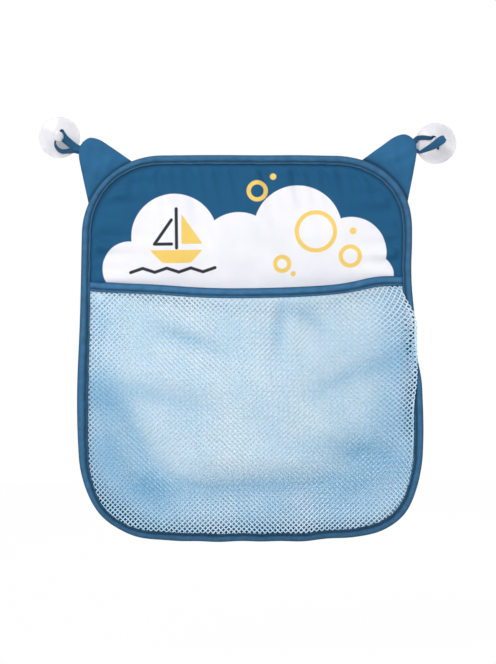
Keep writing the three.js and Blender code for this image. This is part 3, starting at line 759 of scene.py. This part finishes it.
def mouthHeight(x):  # top edge of the net across the bag: a sag, drawn up in two places
    u = np.clip(x / mouthHalf, -1.0, 1.0)
    lift = sum(height * hill((x - middle) / reach) for middle, reach, height in pocket["lifts"])
    return mouthEnd - pocket["sag"] * (1.0 - u * u) + lift


def netSwell(x, z):  # 0 at the lip to 1 in the middle, a power of the sine of the distance inside the lip
    flat = binding["width"] + pocket["start"]
    inside = roundInset(x, z, z - bagBottom, flat + pocket["ramp"]) - flat
    return np.sin(np.clip(inside / pocket["ramp"], 0.0, 1.0) * np.pi / 2) ** pocket["swellPower"]


def netFolding(x, z):  # summed heights, and depths of painted shade, of the folds
    rise, blueAndPaintedShade = np.zeros_like(x), np.zeros_like(x)
    for middleX, middleZ, length, width, slope, height, depth in netFolds:
        c, s = math.cos(math.radians(slope)), math.sin(math.radians(slope))
        a, b = (x - middleX) * c + (z - middleZ) * s, (z - middleZ) * c - (x - middleX) * s
        shape = hill(a / length) * hill(b / width)
        rise, blueAndPaintedShade = rise + height * shape, blueAndPaintedShade + depth * shape
    return rise, blueAndPaintedShade


def netSurface(x, z):  # swell and folds to the front, and the slack over the right-hand binding
    p, o = pocket, overhang
    swell = netSwell(x, z)
    full = mix(p["mouthBulge"], p["bellyBulge"], ease(z, mouthEnd, mouthEnd - p["bellyDrop"]))
    free = ease(swell, 0.0, p["foldsFrom"]) * ease(mouthHeight(x) - z, *p["foldsBelow"])
    level = ease(z, *o["grows"]) * (1.0 - ease(z, *o["ends"])) * mix(1.0, o["kept"], ease(z, *o["thins"]))
    inwards = halfWidth(z, binding["width"]) - x
    out = ease(inwards, 0.0, o["turn"]) * ease(inwards, o["turn"] + o["settle"], o["turn"])
    front = ease(inwards, 0.0, o["front"]) * ease(inwards, o["crest"] + o["settle"], o["crest"])
    y = netSeam - full * swell - netFolding(x, z)[0] * free - o["forward"] * level * front
    return hung(np.stack([x, y, z], -1)) + (o["reach"] * level * out)[..., None] * (1.0, 0.0, 0.0)


def threadFamily(p, direction):  # parallel strands at 45 degrees, weaving over and under the other family
    half = round(p["span"] * (bagTop - bagBottom) / p["pitch"])
    k, n = np.meshgrid(np.arange(-half, half + 1), np.arange(-2 * half, 2 * half + 1) / 2.0, indexing="ij")
    c = diagonal * p["pitch"]
    x = c * (n + direction * k) + p["wander"] * waves(c * (n - direction * k), (173.0, 97.0), 0.7)
    z = mix(mouthEnd, bagBottom, 0.5) + c * (k - direction * n)
    z = z + p["wander"] * waves(c * (n + direction * k), (149.0, 83.0), 1.6)
    below = mouthHeight(x) - z
    inside = (np.abs(x) < halfWidth(z, p["underLip"])) & (z > bagBottom + p["underLip"])
    inside = inside & (below > p["underTape"])
    middle = netSurface(x, z)
    alongX = netSurface(x + p["probe"], z) - netSurface(x - p["probe"], z)
    alongZ = netSurface(x, z + p["probe"]) - netSurface(x, z - p["probe"])
    normal = unit(np.cross(alongX, alongZ))
    side = unit(np.cross(unit(np.gradient(middle, axis=1)), normal))
    fromLip = halfWidth(z, p["weaveInset"]) - np.abs(x)
    wave = p["weave"] * ease(below, *p["weaveBelow"]) * ease(fromLip, 0.0, p["weaveFrom"])
    middle = middle + normal * (direction * wave * np.cos(np.pi * (n + k)))[..., None]
    slack = ease(netSwell(x, z), 0.0, p["slackFrom"])  # slack meshes close up, stretched ones stay open
    w = side * mix(p["edgeWidth"], p["threadWidth"], slack)[..., None] / 2
    t = normal * p["threadThickness"] / 2
    points = np.stack([middle + w, middle + t, middle - w, middle - t], 2).reshape(-1, 3)
    corner = 4 * np.arange(x.size).reshape(x.shape)
    both = inside[:, 1:] & inside[:, :-1]
    start, end = corner[:, :-1][both], corner[:, 1:][both]
    walls = [np.stack([start + i, start + (i + 1) % 4, end + (i + 1) % 4, end + i], -1) for i in range(4)]
    first = both & ~np.pad(both, ((0, 0), (1, 0)))[:, :-1]
    last = both & ~np.pad(both, ((0, 0), (0, 1)))[:, 1:]
    caps = [corner[:, :-1][first][:, None] + [3, 2, 1, 0], corner[:, 1:][last][:, None] + [0, 1, 2, 3]]
    upper = waves(x + 0.4 * z, p["upperWaves"], 0.8)  # which strands lie on top; painted light on these, painted shade on the others
    # painted shade in the folds, a little added everywhere, less on the upper strands and more on the
    # others
    blueAndPaintedShade = netFolding(x, z)[1] + p["blueAndPaintedShade"] - p["paintedStrandLight"] * direction * upper
    return points, np.vstack(walls + caps), np.repeat(blueAndPaintedShade, 4)


def makeNet(p):
    points, faces, blueAndPaintedShade = zip(*(threadFamily(p, direction) for direction in (1, -1)))
    faces = np.vstack([faces[0], faces[1] + len(points[0])])
    # the fold mark holds the painted shade of the threads
    piece = addMesh("pocket_net_threads", np.vstack(points), faces, fold=np.concatenate(blueAndPaintedShade))
    shadeSmooth(piece, False)
    dress(piece, "net", "bag", ["pocket_net"])
    print("net threads:", len(piece.data.polygons), "quads")


makeNet(pocket)

# mouth tape: folded over the net's top edge
mouth = dict(
    step=1.2, height=9.6, groove=7.0, above=0.5, past=1.5, lift=1.0, puff=1.3, backPuff=0.8, fold=0.35,
    rippleWaves=(41.0, 23.0, 67.0), ripple=0.2, pinched=0.06, endPinch=2.0, backPinch=26.0, gap=0.45,
    pitch=3.1, stitchLength=2.3, stitchRadius=0.28, stitchSink=0.4, stitchEnd=2.0)


def makeMouth(m):  # the net's surface below its top edge, moved out by the section's heights
    end = mouthHalf + m["past"]
    x = np.linspace(-end, end, round(2 * mouthHalf / m["step"]))
    top = mouthHeight(x) + m["above"]
    section = tapeSection(m["height"], m["groove"])
    low = netSurface(np.repeat(x[:, None], len(section), 1), top[:, None] - section[:, 0])
    out = towardsFront(unit(np.cross(np.gradient(low, axis=0), low[:, -1:] - low[:, :1])))
    ripple = 1.0 + m["ripple"] * waves(x, m["rippleWaves"], 0.6)[:, None]
    fromEnd = end - np.abs(x)[:, None]
    shut = mix(m["pinched"], 1.0, ease(fromEnd, 0.0, m["endPinch"]))
    backShut = mix(m["pinched"], 1.0, ease(fromEnd, 0.0, m["backPinch"]))  # pressed flat at its ends
    front = low + out * (shut * (m["lift"] + puffed(section, 1.0, m["puff"]) * ripple))[..., None]
    back = low - out * (backShut * (m["lift"] + puffed(section, 0.6, m["backPuff"])))[..., None]
    fold = (netSurface(x, top) + (0.0, 0.0, m["fold"]))[:, None]
    follow = [8, 4, 0]  # points of the section that the inside of the fold follows
    inner, gap = low[:, follow], out[:, follow] * (m["gap"] * backShut)[..., None]
    points = np.concatenate([front, fold, back[:, ::-1], (inner - gap)[:, ::-1], inner + gap], 1)
    # painted shade, dark in the groove and folds and on the hidden inside
    seam = np.concatenate([tapePaintedShade, [0.3], tapePaintedShade[::-1], np.ones(2 * inner.shape[1])])
    piece = addMesh(
        "mouth_binding_tape", points, gridFaces(*points.shape[:2], closeColumns=True),
        tapeUv(x, points[len(x) // 2]), seam=np.tile(seam, (len(x), 1)))
    dress(piece, "mouthTape", "bag", ["mouth_binding"])


def makeMouthStitches(m):
    x = np.arange(-mouthHalf + m["stitchEnd"], mouthHalf - m["stitchEnd"], m["pitch"])
    spots = netSurface(x, mouthHeight(x) + m["above"] - m["groove"])
    tangent = unit(np.gradient(spots, axis=0))
    out = towardsFront(unit(np.cross(tangent, (0.0, 0.0, 1.0))))
    sewStitches("mouth_stitches", [(spots + out * (m["lift"] - m["stitchSink"]), tangent, out)], m)


makeMouth(mouth)
makeMouthStitches(mouth)
print("pocket closed and bound")

# ears: two layers each, rounded, with the ribbon between them
ear = dict(
    baseOuter=38.5, baseInner=34.0, seam=9.0, height=42.0, tipShift=13.5, tipWidth=12.0, tipFall=1.2,
    shoulderWidth=5.6, shoulderFall=8.6, exitTurn=35.0, exitLength=9.8, cornerCut=3.0, rows=40, columns=36,
    thickness=0.6, pad=2.3, backPad=0.75, padFrom=14.0, rumple=1.0,
    tailHalf=7.5, tailLength=13.0, tailPad=1.3, tailFade=9.0,
    seamShade=(4.0, -1.0), stitchShade=0.8, stitchShadeWidth=1.1, stitchLift=0.1, stitchEnd=0.03)
earMiddle = sum(corner[1] for corner in nodeBox("left_ribbon_tail")) / 2


def fromEar(uv):  # ear frame to the right-hand corner: u along the edge, v outwards
    u, v = uv[..., 0], uv[..., 1]
    return np.stack([earCorner[0] + (v - u) * diagonal, earCorner[1] + (v + u) * diagonal], -1)


def cornerArc(radius, angle):  # the bag's round corner in the ear frame
    return np.stack([radius * np.sin(angle), radius * np.cos(angle) - bagShape["topRadius"]], -1)


def cutCorners(line, cut, times=3):  # cuts a line's corners, cut mm off either side, then less; ends kept
    for _ in range(times):
        a, b = line[:-1], line[1:]
        share = np.minimum(cut / np.linalg.norm(b - a, axis=1, keepdims=True), 0.3)
        eased = np.stack([mix(a, b, share), mix(b, a, share)], 1).reshape(-1, 2)[1:-1]
        line = np.vstack([line[:1], eased, line[-1:]])
        cut = cut * 0.4
    return line


def earEdge(e, *corners):  # evenly spaced points along a line with its corners cut
    line = cutCorners(np.array(corners), e["cornerCut"])
    run = runAlong(line)
    return rowsAt(np.linspace(0.0, run[-1], e["rows"]), run, line)


def earPlan(e):  # outer and inner edge from base to tip, and the base along the bag's round corner
    tipOuter = np.array([e["tipShift"] - e["tipWidth"] / 2, e["height"]])
    tipInner = np.array([e["tipShift"] + e["tipWidth"] / 2, e["height"] - e["tipFall"]])
    turn = math.radians(e["exitTurn"])
    exitLow = tipOuter - e["exitLength"] * np.array([math.cos(turn), math.sin(turn)])
    shoulder = tipInner + (e["shoulderWidth"], -e["shoulderFall"])
    radius = bagShape["topRadius"] - e["seam"]
    spread = -math.asin(e["baseOuter"] / radius), math.asin(e["baseInner"] / radius)
    base = cornerArc(radius, np.linspace(*spread, e["columns"]))
    tip = (tipOuter + tipInner) / 2
    outer = earEdge(e, base[0], exitLow, tipOuter, tip)
    inner = earEdge(e, base[-1], shoulder, tipInner, tip)
    return outer, inner, base, exitLow, tipOuter


earOuter, earInner, earBase, exitLow, tipOuter = earPlan(ear)
exitMiddle = fromEar((exitLow + tipOuter) / 2)
exitAlong = unit(fromEar(tipOuter) - fromEar(exitLow))
exitOut = np.array([exitAlong[1], -exitAlong[0]])


def earLayer(e, side, mirror, node):  # the plan between its edges, padded away from the other layer
    t = np.linspace(0.0, 1.0, e["rows"])[:, None, None]
    s = np.linspace(0.0, 1.0, e["columns"])[:, None]
    bow = earBase - mix(earBase[:1], earBase[-1:], s)
    flat = mix(earOuter[:, None], earInner[:, None], s) + bow * (1.0 - t) ** 1.5
    place = fromEar(flat)
    t, s, u, v = t[..., 0], s[..., 0], flat[..., 0], flat[..., 1]
    off = np.linalg.norm(place - topCentre, axis=-1) - bagShape["topRadius"]  # distance past the bag's edge
    past = ease(off, 0.0, e["padFrom"])
    edge = np.sqrt(np.clip(4.0 * s * (1.0 - s), 0.0, 1.0) * np.clip((1.0 - t) * 5.0, 0.0, 1.0))
    across = np.maximum(np.abs((place - exitMiddle) @ exitAlong) - e["tailHalf"], 0.0)
    inwards = np.maximum(-((place - exitMiddle) @ exitOut) - e["tailLength"], 0.0)
    tail = e["tailPad"] * ease(np.hypot(across, inwards), e["tailFade"], 0.0)  # room for the ribbon's tail
    soft = waves(u + 0.35 * v, (21.0, 33.0, 13.0), 1.1 + mirror)
    soft = soft + waves(v - 0.6 * u, (26.0, 17.0), 0.4 - mirror)
    full = e["pad"] * (e["backPad"] if side > 0 else 1.0) + e["rumple"] * soft
    pad = np.maximum(full * edge * past, tail)
    y = earMiddle + side * (e["thickness"] / 2 + 0.02 * past + pad)
    # painted shade: the front layer darker where it meets the binding, the back layer darker along the
    # binding's stitch line
    seam = ease(off, *e["seamShade"])
    stitched = e["stitchShade"] * hill((off + binding["groove"]) / e["stitchShadeWidth"])
    points = upright(place, y, mirror)
    piece = addMesh(node + "_cloth", points, gridFaces(*y.shape), seam=seam if side < 0 else stitched)
    solidify(piece, e["thickness"])
    dress(piece, "ear", "bag", [node])


def makeEarStitches(e, s, mirror, name):  # the binding's seam goes on over the ear's back
    radius = bagShape["topRadius"] - s["groove"]
    outer, inner = (math.asin(e[base] / radius) - e["stitchEnd"] for base in ("baseOuter", "baseInner"))
    angle = np.arange(-outer, inner, s["pitch"] / radius)
    level = earMiddle + e["thickness"] + e["stitchLift"]
    spots = upright(fromEar(cornerArc(radius, angle)), level, mirror)
    tangent = unit(np.gradient(spots, axis=0))
    sewStitches(name, [(spots, tangent, np.broadcast_to(-forward, spots.shape))], s)


for sideName, mirror in sides.items():
    earLayer(ear, -1, mirror, sideName + "_ear_front")
    earLayer(ear, 1, mirror, sideName + "_ear_back")
    makeEarStitches(ear, binding, mirror, sideName + "_ear_stitches")
print("ears sewn")

# ribbons: from the ear, round through the cup's nub and back
ribbon = dict(
    width=6.6, thickness=0.8, girth=2.2, steps=8, apart=0.55, shade=0.7, shadeReach=11.0,
    sewn=[(-13.2, 0.4), (-6.0, 0.7), (-1.5, 1.0)])  # stations in the ear: way out, share of the shift
# a strand: its shift along the ear's edge, its width there, then stations from ear to nub, each with the
# share of the way to the nub, offset across, share of the way forward, wide direction (along, across,
# forward) and width
ribbonRoutes = dict(
    left=dict(
        going=(1, 6.8, [
            (0.16, 0.6, 0.15, (0, 1, 0), 7.2), (0.50, 1, 0.80, (-0.1, 1, 0.1), 7.8),
            (0.76, 1.9, 1.40, (-0.2, 1, 0.2), 8), (0.90, 4, 1.46, (-0.35, 1, 0.45), 7.4),
            (0.98, 6, 1.28, (-0.3, 0.5, 0.9), 5.8), (1.04, 6.1, 1.05, (-0.3, 0.1, 1), 4.4),
            (1.01, 4.2, 1, (-0.3, 0, 1), 3.7), (1, 2.2, 1, (-0.3, 0, 1), 3.6)]),
        coming=(-1, 6.6, [
            (0.10, -2, 0, (0.2, 1, 0.3), 6.6), (0.28, -6, 0.12, (0.4, 0.6, 0.8), 6.6),
            (0.56, -10.4, 0.45, (0, 0.62, 0.8), 6.4), (0.84, -9.8, 0.85, (-0.45, 0.35, 0.85), 5.6),
            (1, -6.6, 1, (-0.4, 0, 0.9), 4.2), (1, -3.6, 1, (-0.3, 0, 1), 3.7)])),
    right=dict(
        going=(-5.2, 4.2, [
            (0.08, -6.8, 0.30, (-0.2, 0.5, 0.85), 4.4), (0.40, -5.4, 1.25, (-0.3, 0.8, 0.55), 5.6),
            (0.72, -3.6, 2.15, (-0.36, 0.9, 0.25), 7), (1.06, -0.7, 2.85, (-0.4, 0.92, 0.05), 8.2),
            (1.26, 1.2, 2.96, (-0.4, 0.92, 0), 8.2), (1.37, 2.3, 2.92, (-0.4, 0.92, 0), 7),
            (1.42, 2.8, 2.78, (-0.4, 0.92, 0), 4.8), (1.34, 1.9, 2.64, (-0.4, 0.92, 0), 4.6),
            (1.08, -1.4, 2.60, (-0.2, 0.7, 0.5), 4.2),
            (1.04, -4.2, 2.45, (0.2, 0, 1), 3.6), (1.02, -5.8, 1.85, (0.2, 0, 1), 3.4),
            (1, -5.7, 1.15, (0.1, -0.6, 0.8), 3.4), (1, -4.4, 1, (0, 0, 1), 3.5),
            (1, -2.6, 1, (0, 0, 1), 3.5)]),
        coming=(5.4, 5.6, [
            (0.06, 7.4, 0.05, (0, 0.75, 0.65), 5.8), (0.34, 7.2, 0.30, (0.1, 0.7, 0.7), 5.6),
            (0.70, 5.6, 0.72, (0.2, 0.6, 0.8), 5), (0.92, 6.4, 0.98, (-0.2, 0.2, 1), 4.2),
            (1, 5.2, 1, (0, 0, 1), 3.6), (1, 2.6, 1, (0, 0, 1), 3.5)])),
)


def jointPlace(name):  # a joint's place, mm
    return np.array(joints[name]["pos_m"]) / mm


def strandRows(r, strand, level, root, hole, mirror):  # rows of place, wide direction, width
    exitWay, exitWide = upright(exitOut, 0.0, mirror), upright(exitAlong, 0.0, mirror)
    run = (hole - root) * (1.0, 0.0, 1.0)
    along = unit(run)
    across = np.array([-mirror * along[2], 0.0, mirror * along[0]])
    shift, tailWidth, stations = strand
    rows = []
    for out, share in r["sewn"]:
        place = root + exitWay * out + exitWide * shift * share + forward * level
        rows.append([*place, *exitWide, mix(r["width"], tailWidth, share)])
    for share, offset, lift, wide, width in stations:
        place = root + run * share + across * offset + forward * mix(level, root[1] - hole[1], lift)
        rows.append([*place, *(wide[0] * along + wide[1] * across + wide[2] * forward), width])
    return np.array(rows)


def makeRibbon(r, sideName, mirror):  # a flat section with round edges, carried along both strands
    root, hole = jointPlace(sideName + "_loop_swing"), jointPlace(sideName + "_cup_tilt")
    going, coming = (
        strandRows(r, ribbonRoutes[sideName][strand], level, root, hole, mirror)
        for strand, level in (("going", r["apart"]), ("coming", -r["apart"])))
    rows = throughPoints(np.vstack([going, coming[::-1]]), r["steps"])
    place, wide, width = rows[:, :3], rows[:, 3:6], rows[:, 6]
    tangent = unit(np.gradient(place, axis=0))
    wide = unit(wide - tangent * np.sum(wide * tangent, -1, keepdims=True))
    flat = unit(np.cross(tangent, wide))
    face = np.array([
        (1.0, 0.4), (0.96, 1.0), (0.5, 1.0), (0.0, 1.0), (-0.5, 1.0), (-0.96, 1.0), (-1.0, 0.4)])
    section = np.vstack([face, face[::-1] * (1.0, -1.0)])
    w, t = width[:, None, None] / 2 * wide[:, None], r["thickness"] / 2 * flat[:, None]
    points = place[:, None] + w * section[:, :1] + t * section[:, 1:]
    count = len(section)
    k = np.arange(len(face) - 1)[:, None]
    cap = np.hstack([k, k + 1, count - 2 - k, count - 1 - k])
    walls = gridFaces(len(place), count, closeColumns=True)
    faces = np.vstack([walls, cap, cap + (len(place) - 1) * count])
    wallUv = gridUv(runAlong(place), np.linspace(0.0, r["girth"] * r["width"], count + 1))
    uv = np.vstack([wallUv, np.zeros((2 * cap.size, 2))])
    fromHole = np.linalg.norm(points - hole, axis=-1)
    seam = r["shade"] * ease(fromHole, r["shadeReach"], 0.0)  # painted shade where the ribbon gathers at the nub
    piece = addMesh(sideName + "_ribbon_strap", points, faces, uv, seam=seam)
    dress(piece, "ribbon", None, [sideName + "_ribbon_tail", sideName + "_loop"])
    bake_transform(piece)


for sideName, mirror in sides.items():
    makeRibbon(ribbon, sideName, mirror)
print("ribbons threaded")

# suction cups: turned from a profile, drilled across the nub
cup = dict(
    radius=20.5, rim=2.4, rimThickness=0.9, hollow=4.2, flange=6.0, nub=5.2, fillet=1.4, height=17.0,
    hole=2.4, segments=96, drillSides=40, drillReach=9.0)


def arcTo(start, control, end, steps):  # quadratic curve from start to end
    t = np.linspace(0.0, 1.0, steps)[:, None]
    return (1 - t) ** 2 * np.array(start) + 2 * t * (1 - t) * np.array(control) + t ** 2 * np.array(end)


def cupProfile(c):  # (radius, height) from the middle of the hollow, round the rim, to the nub's crown
    radius, lip, flange, nub, top = c["radius"], c["rimThickness"], c["flange"], c["nub"], c["height"]
    inner, neck = radius - c["rim"], nub + c["fillet"]
    return np.vstack([
        arcTo((0.001, c["hollow"]), (inner * 0.55, c["hollow"]), (inner, 0.0), 18),
        arcTo((inner + 0.2, 0.0), (radius - 0.2, 0.0), (radius - 0.2, 0.0), 3),
        arcTo((radius, 0.2), (radius, lip), (radius - 0.4, lip), 5),
        arcTo((radius - 0.8, lip + 0.06), (radius * 0.55, flange * 0.6), (neck, flange), 16),
        arcTo((neck - 0.2, flange + 0.06), (nub, flange + 0.4), (nub, flange + c["fillet"]), 6),
        arcTo((nub, top - 4.2), (nub, top - 2.6), (nub, top - 2.4), 3),
        arcTo((nub, top - 2.2), (nub, top), (nub * 0.45, top), 9),
        [(0.001, top + 0.1)],
    ])


def makeCup(c, sideName):  # centre + radius (cos a, sin a) at each height of the profile
    low, high = nodeBox(sideName + "_suction_cup")
    centre = (low + high) / 2
    profile = cupProfile(c)
    angle = np.linspace(0.0, 2 * np.pi, c["segments"], endpoint=False)
    circle = np.stack([np.cos(angle), np.sin(angle)], -1)
    points = upright(centre[[0, 2]] + profile[:, :1, None] * circle, high[1] - profile[:, 1:])
    piece = addMesh(sideName + "_cup_vinyl", points, gridFaces(*points.shape[:2], closeColumns=True))
    hole = jointPlace(sideName + "_cup_tilt")
    across = np.array(joints[sideName + "_cup_tilt"]["axis"])
    angle = np.linspace(0.0, 2 * np.pi, c["drillSides"], endpoint=False)[:, None]
    wall = c["hole"] * (np.cos(angle) * unit(np.cross(across, -forward)) - np.sin(angle) * forward)
    stations = ((-1, 0), (-1, 1), (1, 1), (1, 0))  # end of the drill, share of its radius
    rod = np.stack([hole + end * c["drillReach"] * across + share * wall for end, share in stations])
    drill = addMesh("drill", rod, gridFaces(*rod.shape[:2], closeColumns=True))
    cut = piece.modifiers.new("hole", "BOOLEAN")
    cut.operation = "DIFFERENCE"
    cut.object = drill
    cut.solver = "EXACT"
    bpy.context.view_layer.update()
    finished = bpy.data.meshes.new_from_object(piece.evaluated_get(bpy.context.evaluated_depsgraph_get()))
    piece.modifiers.clear()
    piece.data = finished
    bpy.data.objects.remove(drill)
    shadeSmooth(piece, True)
    dress(piece, "vinyl", sideName + "_cup", [sideName + "_suction_cup"])


for sideName in sides:
    makeCup(cup, sideName)
print("cups moulded")

# studio: white surroundings, a soft key from the upper left, a fill, a pale floor
studio = dict(ambient=0.34, aim=(0.0, 0.0, -190.0), floorDrop=120.0, floorSize=6000.0, floorWhite=0.985)
lamps = dict(
    key=dict(place=(-900.0, -1400.0, 1100.0), size=800.0, power=23.0),
    fill=dict(place=(1400.0, -1700.0, 100.0), size=1200.0, power=5.0),
    front=dict(place=(-100.0, -2200.0, 700.0), size=1800.0, power=9.4),
    back=dict(place=(600.0, 1700.0, 700.0), size=1200.0, power=14.0),
)
white = (1.0, 1.0, 1.0)


def whiteWhenSeen(tree):  # 1 for camera, glossy and transmission rays
    path = addNode(tree, "LightPath").outputs
    rays = [path[ray] for ray in ("Is Camera Ray", "Is Glossy Ray", "Is Transmission Ray")]
    return joined(tree, "MAXIMUM", rays)


def makeWorld(s):
    world = bpy.data.worlds.new("studio")
    scene.world = world
    world.use_nodes = True
    tree = world.node_tree
    tree.nodes.clear()
    soft = addNode(tree, "Background", {"Color": white, "Strength": s["ambient"]})
    bright = addNode(tree, "Background", {"Color": white, "Strength": 1.0})
    both = addNode(tree, "MixShader", {0: whiteWhenSeen(tree), 1: soft.outputs[0], 2: bright.outputs[0]})
    addNode(tree, "OutputWorld", {"Surface": both.outputs[0]})


def makeLamp(name, lamp, aim):
    data = bpy.data.lights.new(name, "AREA")
    data.shape = "DISK"
    data.size = lamp["size"] * mm
    data.energy = lamp["power"]
    back = unit(np.array(lamp["place"]) - aim)
    right = unit(np.cross((0.0, 0.0, 1.0), back))
    standAt(name, data, (right, np.cross(back, right), back), lamp["place"])


def makeFloor(s):
    square = s["floorSize"] / 2 * np.array([(-1, -1), (1, -1), (1, 1), (-1, 1)])
    corners = np.column_stack([square, np.full(4, bagBottom - s["floorDrop"])])
    floor = addMesh("floor", corners, np.array([[0, 1, 2, 3]]), outwards=False)
    material, tree, shader = startMaterial("pale_floor")
    setShader(tree, shader, colour=(0.9, 0.9, 0.9), roughness=0.9)
    bright = addNode(tree, "Emission", {"Color": white, "Strength": 1.0})
    share = calc(tree, "MULTIPLY", whiteWhenSeen(tree), s["floorWhite"])
    both = addNode(tree, "MixShader", {0: share, 1: shader.outputs[0], 2: bright.outputs[0]})
    tree.links.new(both.outputs[0], tree.nodes["Material Output"].inputs["Surface"])
    floor.data.materials.append(material)


makeWorld(studio)
for lampName, lamp in lamps.items():
    makeLamp(lampName, lamp, studio["aim"])
makeFloor(studio)
print("studio lit")
